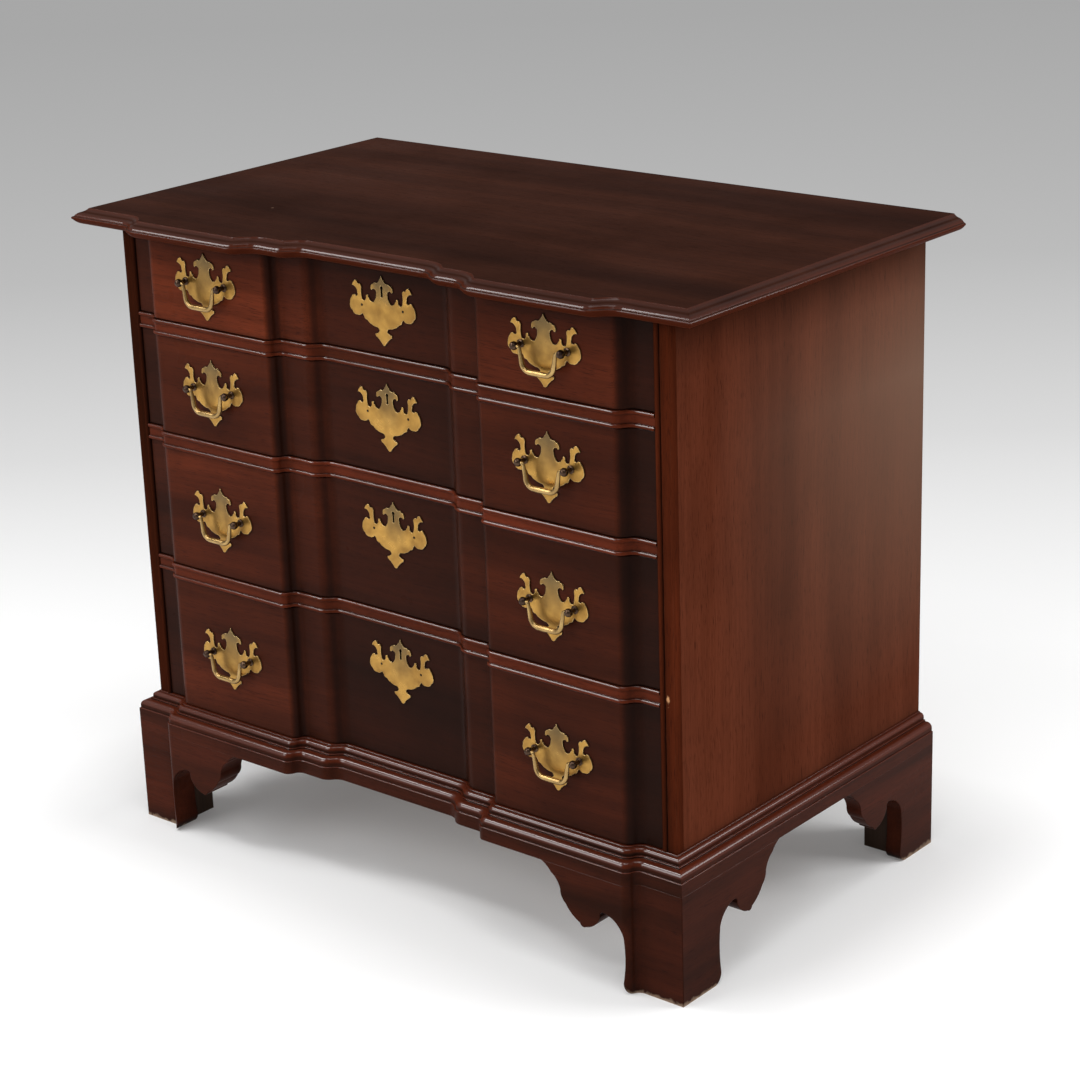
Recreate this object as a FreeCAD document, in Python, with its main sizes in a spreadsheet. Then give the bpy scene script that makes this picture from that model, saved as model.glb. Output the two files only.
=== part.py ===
import FreeCAD, Part
import math
import os

import Sketcher
from FreeCAD import Placement, Rotation, Vector

# Block front chest of drawers: a mahogany case of four graduated drawers with a moulded top,
# a moulded base on bracket feet, and willow-pattern brasses with swinging bails.
# Millimetres.  X runs to the right of a person facing the front, Y to the back, Z up.
# Every piece is drawn with y = 0 on the face of the front stiles, and then moved back so that
# the origin lies on the floor under the middle of the whole chest.

doc = FreeCAD.newDocument("block_front_chest")
sheet = doc.addObject("Spreadsheet::Sheet", "Sizes")

DRAWERS = (1, 2, 3, 4)
SIDES = {"left": -1, "right": 1}
BASE_MEMBERS = ("band", "torus", "quirk", "astragal", "cap")
nodes = []


# ---------------------------------------------------------------------------------------
# The sizes: a text that starts with = is a formula of other sizes
# ---------------------------------------------------------------------------------------

CASE_SIZES = {
    # the case and the boards it is made of
    "case_width": "810",
    "case_depth": "487",
    "side_thickness": "19",
    "housing_depth": "8",
    "back_thickness": "10",
    "back_rebate": "12",
    "bottom_setback": "20",
    "case_half": "=case_width / 2",
    "inside_half": "=case_half - side_thickness",
    "tenon_half": "=inside_half + housing_depth",
    "inside_back": "=case_depth - back_rebate",
    # the heights, from the floor up
    "foot_height": "132",
    "mould_height": "37.8",
    "blade_thickness": "19",
    "opening_4": "167.4",
    "opening_3": "148.4",
    "opening_2": "120.5",
    "opening_1": "104.2",
    "floor_4": "=foot_height + mould_height",
    "ceiling_4": "=floor_4 + opening_4",
    "floor_3": "=ceiling_4 + blade_thickness",
    "ceiling_3": "=floor_3 + opening_3",
    "floor_2": "=ceiling_3 + blade_thickness",
    "ceiling_2": "=floor_2 + opening_2",
    "floor_1": "=ceiling_2 + blade_thickness",
    "ceiling_1": "=floor_1 + opening_1",
    "top_thickness": "18",
    "board_top": "=ceiling_1 + top_thickness",
    # the front stiles, with a bead and a quirk beside the drawers
    "stile_depth": "12",
    "bead_width": "6",
    "bead_proud": "2.5",
    "bead_radius": "=(bead_width * bead_width / 4 + bead_proud * bead_proud) / (2 * bead_proud)",
    "quirk_width": "1",
    "quirk_depth": "1",
    # the blades between the drawers, with a bead along each edge
    "blade_depth": "70",
    "blade_face": "=0 - bead_proud",
    "blade_bead": "4.5",
    "blade_hollow": "2.2",
    "blade_round": "2",
    # the rails under the top
    "rail_thickness": "14",
    "rail_depth": "62",
    "rail_gap": "3",
    # the runners, and the seams and gaps of the back boards
    "runner_width": "40",
    "back_seam_low": "=floor_4 + 150",
    "back_seam_high": "=floor_4 + 350",
    "seam_half": "0.5",
    # the feet: their length under the moulding, the plain rear brackets and the glue blocks
    "foot_length": "186",
    "bracket_length": "150",
    "bracket_heel": "52",
    "bracket_knee": "62",
    "bracket_knee_drop": "70",
    "bracket_end_drop": "18",
    "bracket_inset": "2",
    "glue_block": "38",
    "glue_block_lift": "3",
    # how far waste that is sawn away reaches beyond the wood
    "saw_reach": "60",
}

# How far the blocks stand out and the middle sinks in, and where each of the shaped returns
# starts and ends, out from the middle of the chest, on the drawers, the top and the base.
BLOCKING_SIZES = {
    "block_step": "15",
    "recess_step": "12.3",
    "blade_strip_out": "365",
    "blade_block_out": "340.5",
    "blade_block_in": "163",
    "blade_strip_in": "144.5",
    "blade_recess_out": "114.5",
    "blade_recess_in": "88",
    "board_step": "18.3",
    "board_sink": "15.8",
    "board_strip_out": "369.5",
    "board_block_out": "333.5",
    "board_block_in": "182",
    "board_strip_in": "144",
    "board_recess_out": "121",
    "board_recess_in": "86.5",
    "band_strip_out": "373",
    "band_block_out": "354",
    "band_block_in": "158",
    "band_strip_in": "137",
    "band_recess_out": "110",
    "band_recess_in": "84",
    # the overhang of the top and the reach, height and rounding of each member of the base
    "board_side_overhang": "52.2",
    "board_front_overhang": "33",
    "board_half": "=case_half + board_side_overhang",
    "board_face": "=0 - board_front_overhang",
    "cutter_reach": "5",
    "band_reach": "20.5",
    "band_height": "16",
    "band_round": "0.8",
    "torus_reach": "19",
    "torus_height": "10.5",
    "torus_round": "6.5",
    "quirk_reach": "9.5",
    "quirk_height": "2",
    "quirk_round": "0.6",
    "astragal_reach": "7.5",
    "astragal_height": "8",
    "astragal_round": "5",
    "cap_reach": "2",
    "cap_height": "1.3",
    "cap_round": "0.8",
}

DRAWER_SIZES = {
    # the front, the box behind it and the gaps they run with
    "front_face": "1",
    "front_thin": "14",
    "front_back": "=front_face + recess_step + front_thin",
    "side_gap": "1",
    "front_half": "=inside_half - side_gap",
    "front_gap_low": "1",
    "front_gap_high": "1",
    "box_side": "12",
    "box_back": "12",
    "box_drop": "6",
    "box_drop_1": "=rail_thickness + rail_gap",
    "box_drop_2": "=box_drop",
    "box_drop_3": "=box_drop",
    "box_drop_4": "=box_drop",
    "box_rear": "450",
    "panel_thickness": "7",
    "panel_lift": "9",
    "groove_depth": "6",
    # the dovetails
    "socket_depth": "15",
    "tail_slope": "3",
    "tail_share": "0.62",
    "tails_1": "2",
    "tails_2": "3",
    "tails_3": "3",
    "tails_4": "4",
    # the lock and its keyhole
    "lock_half": "29",
    "lock_height": "46",
    "lock_depth": "9",
    "bolt_half": "10",
    "bolt_thickness": "5",
    "bolt_height": "16",
    "bolt_wall": "2",
    "bolt_clearance": "0.1",
    "bolt_low": "1",
    "bolt_travel_room": "2",
    "mortise_depth": "10",
    "mortise_play": "1",
    "key_low": "36.6",
    "key_high": "23.6",
    "key_slot_half": "1.4",
    "key_head": "2.1",
    "key_head_rise": "=key_head * 0.75",
}

BRASS_SIZES = {
    "pull_middle": "253.5",
    "pull_lift_1": "1.5",
    "pull_lift_2": "5",
    "pull_lift_3": "1",
    "pull_lift_4": "1",
    "boring_half": "31.5",
    "bore_radius": "2.2",
    "plate_thickness": "1.6",
    "key_plate_drop": "48.6",
    "pivot_reach": "11",
    "ball_radius": "4.8",
    "neck_radius": "2.9",
    "neck_top": "3.8",
    "collar_radius": "4.6",
    "collar_edge": "1",
    "collar_slope": "1.6",
    "shank_radius": "2",
    "shank_length": "=front_back - front_face + block_step + 4",
    "nut_across": "7",
    "nut_thickness": "3",
    "wire_radius": "2.1",
    "pin_clearance": "0.05",
    "arm_inset": "7.4",
    "arm_half": "=boring_half - arm_inset",
    "elbow_radius": "2.8",
    "corner_radius": "11",
    "bail_drop": "26",
    "arm_lean": "10",
    "lean_run": "=sin(arm_lean * 1 deg)",
    "lean_rise": "=cos(arm_lean * 1 deg)",
    "arm_top": "=arm_half + elbow_radius * (1 - lean_rise)",
    "arm_top_drop": "=elbow_radius * (1 - lean_run)",
    "arm_foot_drop": "=bail_drop - corner_radius * (1 - lean_run)",
    "arm_foot": "=arm_top - (arm_foot_drop - arm_top_drop) * lean_run / lean_rise",
    "bar_half": "=arm_foot - corner_radius * lean_rise",
    "swell_sink": "0.1",
    "swell_rise": "0.7",
    "pin_overrun": "3",
    "pin_end": "=boring_half + pin_overrun",
}

# where y = 0 of the case lies in the frame of the whole chest
FRAME_SIZES = {
    "reach_front": "=board_front_overhang + board_step",
    "case_shift": "=(reach_front - case_depth) / 2",
}


PLACES = ("strip_out", "block_out", "block_in", "strip_in", "recess_out", "recess_in")


def return_sizes(family, step, sink, inset="0"):
    """The halfway point and the radii of each S-shaped return, made of two arcs that meet there.

    An inset moves the whole outline that far into the wood, square to itself.
    """
    sizes = {}
    for turn, wide, narrow, rise, side in (
        ("outer", family + "_strip_out", family + "_block_out", step, "-"),
        ("inner", family + "_block_in", family + "_strip_in", step, "+"),
        ("recess", family + "_recess_out", family + "_recess_in", sink, "+"),
    ):
        name = "%s_%s" % (family, turn)
        run = "(%s - %s)" % (wide, narrow)
        sizes[name + "_radius"] = "=(%s * %s + %s * %s) / (4 * %s)" % (run, run, rise, rise, rise)
        sizes[name + "_convex"] = "=%s_radius - %s" % (name, inset)
        sizes[name + "_concave"] = "=%s_radius + %s" % (name, inset)
        sizes[name + "_half"] = "=(%s + %s) / 2 %s %s * %s / (2 * %s_radius)" % (
            wide, narrow, side, inset, run, name)
        outward = "-" if turn == "recess" else "+"
        sizes[name + "_rise"] = "=%s / 2 %s %s * %s / (2 * %s_radius)" % (rise, outward, inset, rise, name)
    return sizes


def hollow_sizes():
    """The blocking of the hollow of a blade: that of its beads, set into the wood."""
    sizes = {"hollow_" + place: "=blade_" + place for place in PLACES}
    sizes.update(return_sizes("hollow", "block_step", "recess_step", "blade_hollow"))
    return sizes


def member_sizes(member):
    """The blocking of one member of the base, between that of the drawers and that of the band."""
    sizes = {member + "_face": "=0 - %s_reach" % member, member + "_end": "=case_half + %s_reach" % member}
    if member != "band":
        for place in PLACES:
            sizes["%s_%s" % (member, place)] = "=blade_%s + (band_%s - blade_%s) * %s_reach / band_reach" % (
                place, place, place, member)
    sizes.update(return_sizes(member, "block_step", "recess_step"))
    return sizes


def row_sizes(drawer):
    """What one drawer adds: the ends of its front, its dovetails and the height of its pulls."""
    pitch = "tail_pitch_%d" % drawer
    return {
        "front_low_%d" % drawer: "=floor_%d + front_gap_low" % drawer,
        "front_high_%d" % drawer: "=ceiling_%d - front_gap_high" % drawer,
        "front_height_%d" % drawer: "=opening_%d - front_gap_low - front_gap_high" % drawer,
        "box_height_%d" % drawer: "=opening_%d - front_gap_low - box_drop_%d" % (drawer, drawer),
        "pull_height_%d" % drawer: "=floor_%d + opening_%d / 2 + pull_lift_%d" % ((drawer,) * 3),
        pitch: "=box_height_%d / tails_%d" % (drawer, drawer),
        "tail_root_%d" % drawer: "=(%s * tail_share - tail_slope) / 2" % pitch,
        "tail_end_%d" % drawer: "=(%s * tail_share + tail_slope) / 2" % pitch,
        "gap_root_%d" % drawer: "=(%s * (1 - tail_share) + tail_slope) / 2" % pitch,
        "gap_end_%d" % drawer: "=(%s * (1 - tail_share) - tail_slope) / 2" % pitch,
        "tail_middle_%d" % drawer: "=front_low_%d + %s / 2" % (drawer, pitch),
    }


def fill_sheet():
    """Writes every size into the sheet, as text, under its own name."""
    sizes = {}
    for part in (CASE_SIZES, BLOCKING_SIZES, DRAWER_SIZES, BRASS_SIZES, FRAME_SIZES):
        sizes.update(part)
    sizes.update(return_sizes("blade", "block_step", "recess_step"))
    sizes.update(return_sizes("board", "board_step", "board_sink"))
    sizes.update(hollow_sizes())
    for member in BASE_MEMBERS:
        sizes.update(member_sizes(member))
    for drawer in DRAWERS:
        sizes.update(row_sizes(drawer))
    for row, (name, text) in enumerate(sizes.items(), start=1):
        sheet.set("A%d" % row, name)
        sheet.set("B%d" % row, text)
        sheet.setAlias("B%d" % row, name)
    doc.recompute()


# A place or a length is a sum in words, such as "case_half - 2" or "- front_half + box_side".

def number(words):
    """The value of such a sum."""
    total = 0.0
    sign = 1
    for word in str(words).split():
        if word in ("+", "-"):
            sign = 1 if word == "+" else -1
        elif word[0].isalpha():
            total += sign * float(sheet.get(word))
        else:
            total += sign * float(word)
    return total


def formula(words):
    """The same sum as an expression that reads the sheet."""
    return " ".join("Sizes." + word if word[0].isalpha() else word for word in str(words).split())


def negative(words):
    """The sum with every sign turned round."""
    swap = {"+": "-", "-": "+"}
    turned_words = [swap.get(word, word) for word in str(words).split()]
    if turned_words[0] == "+":
        return " ".join(turned_words[1:])
    return "- " + " ".join(turned_words)


# ---------------------------------------------------------------------------------------
# Sketches, features and nodes
# ---------------------------------------------------------------------------------------

def loose_body(name):
    """A body that is one of several solids of a node."""
    body = doc.addObject("PartDesign::Body", name)
    body.Label = name
    return body


def node_body(name):
    """A body that is a node, standing at its place in the frame of the whole chest."""
    body = loose_body(name)
    body.setExpression("Placement.Base.y", "Sizes.case_shift")
    nodes.append(body)
    return body


def origin_feature(body, role):
    for feature in body.Origin.OriginFeatures:
        if feature.Role == role:
            return feature
    raise ValueError(role)


def arc_between(start, end, radius, turn):
    """The short arc from start to end; with turn 1 its centre is to the left of the way, with -1 right."""
    half = (end - start).Length / 2
    left = Vector(start.y - end.y, end.x - start.x, 0).normalize()
    centre = (start + end) / 2 + left * (turn * math.sqrt(radius * radius - half * half))
    first, last = (start, end) if turn > 0 else (end, start)
    begin = math.atan2(first.y - centre.y, first.x - centre.x)
    finish = math.atan2(last.y - centre.y, last.x - centre.x)
    if finish < begin:
        finish += 2 * math.pi
    return Part.ArcOfCircle(Part.Circle(centre, Vector(0, 0, 1), radius), begin, finish)


def arc_sizes(corner, start, end):
    """Radius and turn of the arc that leaves a corner.

    A corner is (x, y) before a straight line, (x, y, radius, turn) before an arc, or (x, y, rise)
    before an arc whose middle stands that far to the right of the straight way.
    """
    if len(corner) == 4:
        return corner[2], corner[3]
    half = (end - start).Length / 2
    rise = corner[2]
    return "%.5f" % ((half * half + rise * rise) / (2 * abs(rise))), (1 if rise > 0 else -1)


def mirrored_arc(arc):
    """The same arc in an outline that is mirrored, or run through the other way."""
    if len(arc) == 2:
        return (arc[0], -arc[1])
    return tuple(-rise for rise in arc)


def new_sketch(body, name, role, level):
    sketch = body.newObject("Sketcher::SketchObject", body.Name + "_" + name)
    sketch.AttachmentSupport = [(origin_feature(body, role), "")]
    sketch.MapMode = "FlatFace"
    sketch.AttachmentOffset = Placement(Vector(0, 0, number(level)), Rotation())
    sketch.setExpression("AttachmentOffset.Base.z", formula(level))
    return sketch


def fix_point(rules, bound, edge, end, corner):
    """Holds one end of an edge at its place, by distances from the origin."""
    for kind, axis, words in (("DistanceX", -2, corner[0]), ("DistanceY", -1, corner[1])):
        value = number(words)
        if abs(value) < 1e-9:
            rules.append(Sketcher.Constraint("PointOnObject", edge, end, axis))
        else:
            bound[len(rules)] = formula(words)
            rules.append(Sketcher.Constraint(kind, -1, 1, edge, end, value))


def constrain(sketch, rules, bound):
    """Adds the rules to a sketch and binds their values to the sheet."""
    sketch.addConstraint(rules)
    for index, expression in bound.items():
        if "Sizes." in expression:
            sketch.setExpression("Constraints[%d]" % index, expression)


def outline(body, name, role, corners, level="0", flip=1, closed=True):
    """A sketch through the corners, held by sizes from the sheet; flip -1 mirrors it in x."""
    sketch = new_sketch(body, name, role, level)
    if flip < 0:
        corners = [(negative(corner[0]), corner[1]) + mirrored_arc(corner[2:]) for corner in corners]
    points = [Vector(number(corner[0]), number(corner[1]), 0) for corner in corners]
    edges = len(corners) if closed else len(corners) - 1
    rules = []
    bound = {}
    ends = []
    for index in range(edges):
        corner = corners[index]
        start = points[index]
        end = points[(index + 1) % len(points)]
        if len(corner) == 2:
            sketch.addGeometry(Part.LineSegment(start, end), False)
            ends.append((1, 2))
        else:
            radius, turn = arc_sizes(corner, start, end)
            sketch.addGeometry(arc_between(start, end, number(radius), turn), False)
            ends.append((1, 2) if turn > 0 else (2, 1))
            bound[len(rules)] = formula(radius)
            rules.append(Sketcher.Constraint("Radius", index, number(radius)))
        fix_point(rules, bound, index, ends[index][0], corner)
    for index in range(edges if closed else edges - 1):
        following = (index + 1) % edges
        rules.append(Sketcher.Constraint("Coincident", index, ends[index][1], following, ends[following][0]))
    if not closed:
        fix_point(rules, bound, edges - 1, ends[-1][1], corners[-1])
    constrain(sketch, rules, bound)
    return sketch


def rectangle(body, name, role, low, high, level="0", flip=1):
    corners = [(low[0], low[1]), (high[0], low[1]), (high[0], high[1]), (low[0], high[1])]
    return outline(body, name, role, corners, level, flip)


def circle(body, name, role, middle, radius, level="0"):
    sketch = new_sketch(body, name, role, level)
    centre = Vector(number(middle[0]), number(middle[1]), 0)
    sketch.addGeometry(Part.Circle(centre, Vector(0, 0, 1), number(radius)), False)
    rules = [Sketcher.Constraint("Radius", 0, number(radius))]
    bound = {0: formula(radius)}
    fix_point(rules, bound, 0, 3, middle)
    constrain(sketch, rules, bound)
    return sketch


def flat_feature(kind, sketch, length, back, through):
    """A Pad or a Pocket of a sketch, which must add or take something."""
    body = sketch.getParentGeoFeatureGroup()
    before = body.Shape.Volume if body.Tip else 0.0
    feature = body.newObject("PartDesign::" + kind, "%s_%s" % (sketch.Name, kind.lower()))
    feature.Profile = sketch
    if through:
        feature.Type = "ThroughAll"
        feature.SideType = "Symmetric"
    else:
        feature.Length = number(length)
        feature.setExpression("Length", formula(length))
        feature.Reversed = back
    doc.recompute()
    sketch.Visibility = False
    change = body.Shape.Volume - before
    if change * (1 if kind == "Pad" else -1) <= 0:
        raise RuntimeError("%s changes nothing" % feature.Name)
    return feature


def pad(sketch, length, back=False):
    """Thickens a sketch up from XY, forward from XZ or right from YZ; back turns that round."""
    return flat_feature("Pad", sketch, length, back, False)


def pocket(sketch, length):
    """Cuts a sketch out of the wood, up from XY, forward from XZ or right from YZ."""
    return flat_feature("Pocket", sketch, length, True, False)


def cut_through(sketch):
    return flat_feature("Pocket", sketch, "0", False, True)


def turn_round(sketch, name, axis):
    """A full turn of a sketch about one of its own lines."""
    body = sketch.getParentGeoFeatureGroup()
    turning = body.newObject("PartDesign::Revolution", name)
    turning.Profile = sketch
    turning.ReferenceAxis = (sketch, [axis])
    turning.Angle = 360
    doc.recompute()


def repeat_up(body, feature, spacing, count):
    """A row of the same feature up the body."""
    before = body.Shape.Volume
    row = body.newObject("PartDesign::LinearPattern", feature.Name + "_row")
    row.Originals = [feature]
    row.Direction = (origin_feature(body, "Z_Axis"), [""])
    row.Mode = "Spacing"
    row.Offset = number(spacing)
    row.setExpression("Offset", formula(spacing))
    row.Occurrences = count
    body.Tip = row
    doc.recompute()
    if abs(body.Shape.Volume - before) < 1e-6:
        raise RuntimeError(row.Name + " repeats nothing")


def round_edges(body, feature, radius, wanted):
    """Rounds the edges of a feature that the test picks out."""
    names = ["Edge%d" % index for index, edge in enumerate(feature.Shape.Edges, start=1) if wanted(edge)]
    rounding = body.newObject("PartDesign::Fillet", feature.Name + "_round")
    rounding.Base = (feature, names)
    rounding.Radius = number(radius)
    rounding.setExpression("Radius", formula(radius))
    doc.recompute()
    return rounding


def level_edges(height, wanted):
    """A test for the level edges at one height whose boxes also pass a second test."""
    def test(edge):
        box = edge.BoundBox
        return box.ZLength < 1e-4 and abs(box.ZMin - number(height)) < 1e-4 and wanted(box)
    return test


def board(name, low, high):
    """A plain sawn board between two corners."""
    box = doc.addObject("Part::Box", name)
    for size, first, last in zip(("Length", "Width", "Height"), low, high):
        box.setExpression(size, "(%s) - (%s)" % (formula(last), formula(first)))
    for axis, words in zip("xyz", low):
        box.setExpression("Placement.Base." + axis, formula(words))
    return box


def group(name, pieces):
    """One node of one or more loose solids."""
    compound = doc.addObject("Part::Compound", name)
    compound.Label = name
    compound.Links = pieces
    compound.setExpression("Placement.Base.y", "Sizes.case_shift")
    nodes.append(compound)


# ---------------------------------------------------------------------------------------
# The blocked outline, which the top, the blades, the drawers and the base all follow
# ---------------------------------------------------------------------------------------

def mirrored(right):
    """The left half of a symmetric outline, from its far end back to the middle."""
    left = []
    for index in range(len(right) - 1, -1, -1):
        arc = right[index - 1][2:] if index else ()
        left.append((negative(right[index][0]), right[index][1]) + tuple(arc))
    return left


def blocked_front(family, face, end, step="block_step", sink="recess_step"):
    """Corners of the blocked front from its left end to its right end, with its strips at y = face."""
    block = "%s - %s" % (face, step)
    recess = "%s + %s" % (face, sink)
    right = [
        (family + "_recess_in", recess, family + "_recess_concave", -1),
        (family + "_recess_half", "%s + %s_recess_rise" % (face, family), family + "_recess_convex", 1),
        (family + "_recess_out", face),
        (family + "_strip_in", face, family + "_inner_concave", -1),
        (family + "_inner_half", "%s - %s_inner_rise" % (face, family), family + "_inner_convex", 1),
        (family + "_block_in", block),
        (family + "_block_out", block, family + "_outer_convex", 1),
        (family + "_outer_half", "%s - %s_outer_rise" % (face, family), family + "_outer_concave", -1),
        (family + "_strip_out", face),
        (end, face),
    ]
    return mirrored(right) + right


# ---------------------------------------------------------------------------------------
# The case
# ---------------------------------------------------------------------------------------

# The ogee along the edge of the top, from its underside up: distance in from the edge and depth
# below the top's face, then the radius and turn of the arc that follows.
TOP_OGEE = [
    ("8", "18", "16", 1),
    ("1.3", "12.4", "1.8", 1),
    ("1.3", "9"),
    ("2.6", "8.6", "10", 1),
    ("8.5", "4.2", "12", -1),
    ("15.5", "0"),
]


def top_board():
    """The overhanging top, with an ogee worked on its front and both ends."""
    body = node_body("top_board")
    front = blocked_front("board", "board_face", "board_half", "board_step", "board_sink")
    corners = [("- board_half", "case_depth")] + front + [("board_half", "case_depth")]
    pad(outline(body, "plan", "XY_Plane", corners, "ceiling_1"), "top_thickness")
    path = outline(body, "path", "XY_Plane", corners, "ceiling_1", closed=False)
    waste = []
    for inset, drop, *arc in TOP_OGEE:
        waste.append(("board_half - %s" % inset, "board_top - %s" % drop) + tuple(arc))
    beyond = "board_half + cutter_reach"
    waste.insert(0, (beyond, "ceiling_1"))
    waste.append(("board_half - %s" % TOP_OGEE[-1][0], "board_top + cutter_reach"))
    waste.append((beyond, "board_top + cutter_reach"))
    ogee = outline(body, "ogee", "XZ_Plane", waste, "0 - case_depth", flip=-1)
    before = body.Shape.Volume
    moulding = body.newObject("PartDesign::SubtractivePipe", "top_board_moulding")
    moulding.Profile = ogee
    moulding.Spine = (path, [""])
    moulding.Transition = "Right corner"
    doc.recompute()
    if body.Shape.Volume >= before:
        raise RuntimeError("the ogee changes nothing")
    pocket(lock_mortise(body, "ceiling_1"), "mortise_depth")


def lock_mortise(body, level):
    """The mortise over a drawer that its lock bolt rises into."""
    near = "front_back - bolt_wall - bolt_thickness - mortise_play"
    far = "front_back - bolt_wall + mortise_play"
    return rectangle(body, "mortise", "XY_Plane", ("- bolt_half - mortise_play", near),
                     ("bolt_half + mortise_play", far), level)


def side_panel(side):
    """A side of the case, rebated for the back boards and housed for the blades and the bottom."""
    flip = SIDES[side]
    body = node_body("side_" + side)
    plan = rectangle(body, "plan", "XY_Plane", ("inside_half", "stile_depth"), ("case_half", "case_depth"),
                     "foot_height", flip)
    pad(plan, "ceiling_1 - foot_height")
    rebate = rectangle(body, "rebate", "XY_Plane", ("inside_half", "inside_back"),
                       ("tenon_half", "case_depth"), "foot_height", flip)
    pocket(rebate, "ceiling_1 - foot_height")
    for drawer in DRAWERS:
        housing = rectangle(body, "housing_%d" % drawer, "XY_Plane", ("inside_half", "stile_depth"),
                            ("tenon_half", "inside_back"), "floor_%d - blade_thickness" % drawer, flip)
        pocket(housing, "blade_thickness")


def stile(side):
    """The facing on the front edge of a side, with a bead and a quirk beside the drawers."""
    body = node_body("stile_" + side)
    bead = "inside_half + bead_width"
    section = outline(body, "section", "XY_Plane", [
        ("case_half", "0"),
        ("case_half", "stile_depth"),
        ("inside_half", "stile_depth"),
        ("inside_half", "0", "bead_radius", 1),
        (bead, "0"),
        (bead, "quirk_depth"),
        (bead + " + quirk_width", "quirk_depth"),
        (bead + " + quirk_width", "0"),
    ], "floor_4", SIDES[side])
    pad(section, "ceiling_1 - floor_4")


def blade(index):
    """A rail between two drawers, with a bead along both edges of its front and a hollow between."""
    body = node_body("blade_%d" % index)
    low = "floor_%d - blade_thickness" % index
    tenon = rectangle(body, "tenon", "XY_Plane", ("- tenon_half", "stile_depth"),
                      ("tenon_half", "blade_depth"), low)
    pad(tenon, "blade_thickness")
    front = blocked_front("blade", "blade_face", "inside_half")
    front += [("inside_half", "stile_depth"), ("- inside_half", "stile_depth")]
    pad(outline(body, "front", "XY_Plane", front, low), "blade_thickness")
    waste = blocked_front("hollow", "blade_face + blade_hollow", "inside_half")
    waste += [("inside_half", "- saw_reach"), ("- inside_half", "- saw_reach")]
    hollow = pocket(outline(body, "hollow", "XY_Plane", waste, low + " + blade_bead"),
                    "blade_thickness - blade_bead - blade_bead")
    edges = stacked_edges(hollow, low, number("blade_face + recess_step") + 0.1,
                          (low, low + " + blade_bead", "floor_%d - blade_bead" % index, "floor_%d" % index))
    round_edges(body, hollow, "blade_round", edges)
    pocket(lock_mortise(body, low), "mortise_depth")


def stacked_edges(feature, low, limit, heights):
    """The front edges at the lowest height, up to y = limit, and those straight above them."""
    def middle(edge):
        point = edge.valueAt((edge.FirstParameter + edge.LastParameter) / 2)
        return (round(point.x, 2), round(point.y, 2))

    lowest = level_edges(low, lambda box: box.YMax < limit)
    places = {middle(edge) for edge in feature.Shape.Edges if lowest(edge)}
    tests = [level_edges(height, lambda box: True) for height in heights]
    return lambda edge: middle(edge) in places and any(test(edge) for test in tests)


def inner_case():
    """The bottom, the runners, the rails under the top and the boards of the back."""
    under = "floor_4 - blade_thickness"
    group("case_bottom", [
        board("bottom_board", ("- tenon_half", "bottom_setback", under), ("tenon_half", "inside_back", "floor_4")),
    ])
    runners = []
    for drawer in (1, 2, 3):
        top = "floor_%d" % drawer
        under = top + " - blade_thickness"
        for side, near, far in (("left", "- tenon_half", "- inside_half + runner_width"),
                                ("right", "inside_half - runner_width", "tenon_half")):
            runners.append(board("runner_%s_%d" % (side, drawer),
                                 (near, "blade_depth", under), (far, "inside_back", top)))
    group("drawer_runners", runners)
    low = "ceiling_1 - rail_thickness"
    near = "front_back + rail_gap"
    group("top_rails", [
        board("rail_front", ("- inside_half", near, low),
              ("inside_half", near + " + rail_depth", "ceiling_1")),
        board("rail_rear", ("- inside_half", "inside_back - rail_depth", low),
              ("inside_half", "inside_back", "ceiling_1")),
    ])
    back = "inside_back + back_thickness"
    seams = ["foot_height", "back_seam_low", "back_seam_high", "ceiling_1"]
    group("back_boards", [
        board("back_board_%d" % index, ("- tenon_half", "inside_back", low + " + seam_half"),
              ("tenon_half", back, high + " - seam_half"))
        for index, (low, high) in enumerate(zip(seams, seams[1:]), start=1)
    ])


# ---------------------------------------------------------------------------------------
# The base
# ---------------------------------------------------------------------------------------

def mitre(body, flip, level, height, keep_front):
    """Saws a corner along the diagonal that runs out from the corner of the case."""
    name = "mitre_left" if flip < 0 else "mitre_right"
    beyond = [("case_half", "0"), ("case_half + saw_reach", "- saw_reach")]
    if keep_front:
        beyond += [("case_half + saw_reach", "saw_reach"), ("case_half", "saw_reach")]
    else:
        beyond += [("case_half", "- saw_reach")]
    pocket(outline(body, name, "XY_Plane", beyond, level, flip), height)


def base_layers(body, plan, wanted, flip=1):
    """The members of the base moulding, one on another, each with its upper edge rounded."""
    low = "foot_height"
    for member in BASE_MEMBERS:
        top = "%s + %s_height" % (low, member)
        layer = pad(outline(body, member, "XY_Plane", plan(member), low, flip), member + "_height")
        round_edges(body, layer, member + "_round", level_edges(top, wanted(member)))
        low = top


def base_mould_front():
    """The blocked base moulding: a band, a torus, a quirk, an astragal and a small cap."""
    body = node_body("base_mould_front")

    def plan(member):
        end = member + "_end"
        front = blocked_front(member, member + "_face", end)
        return front + [(end, "stile_depth"), (negative(end), "stile_depth")]

    def on_front(member):
        limit = number(member + "_face + recess_step") + 0.1
        return lambda box: box.YMax < limit

    base_layers(body, plan, on_front)
    backing = rectangle(body, "backing", "XY_Plane", ("- inside_half", "stile_depth"),
                        ("inside_half", "bottom_setback"), "foot_height")
    pad(backing, "mould_height")
    for flip in (-1, 1):
        mitre(body, flip, "foot_height", "mould_height", True)


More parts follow.
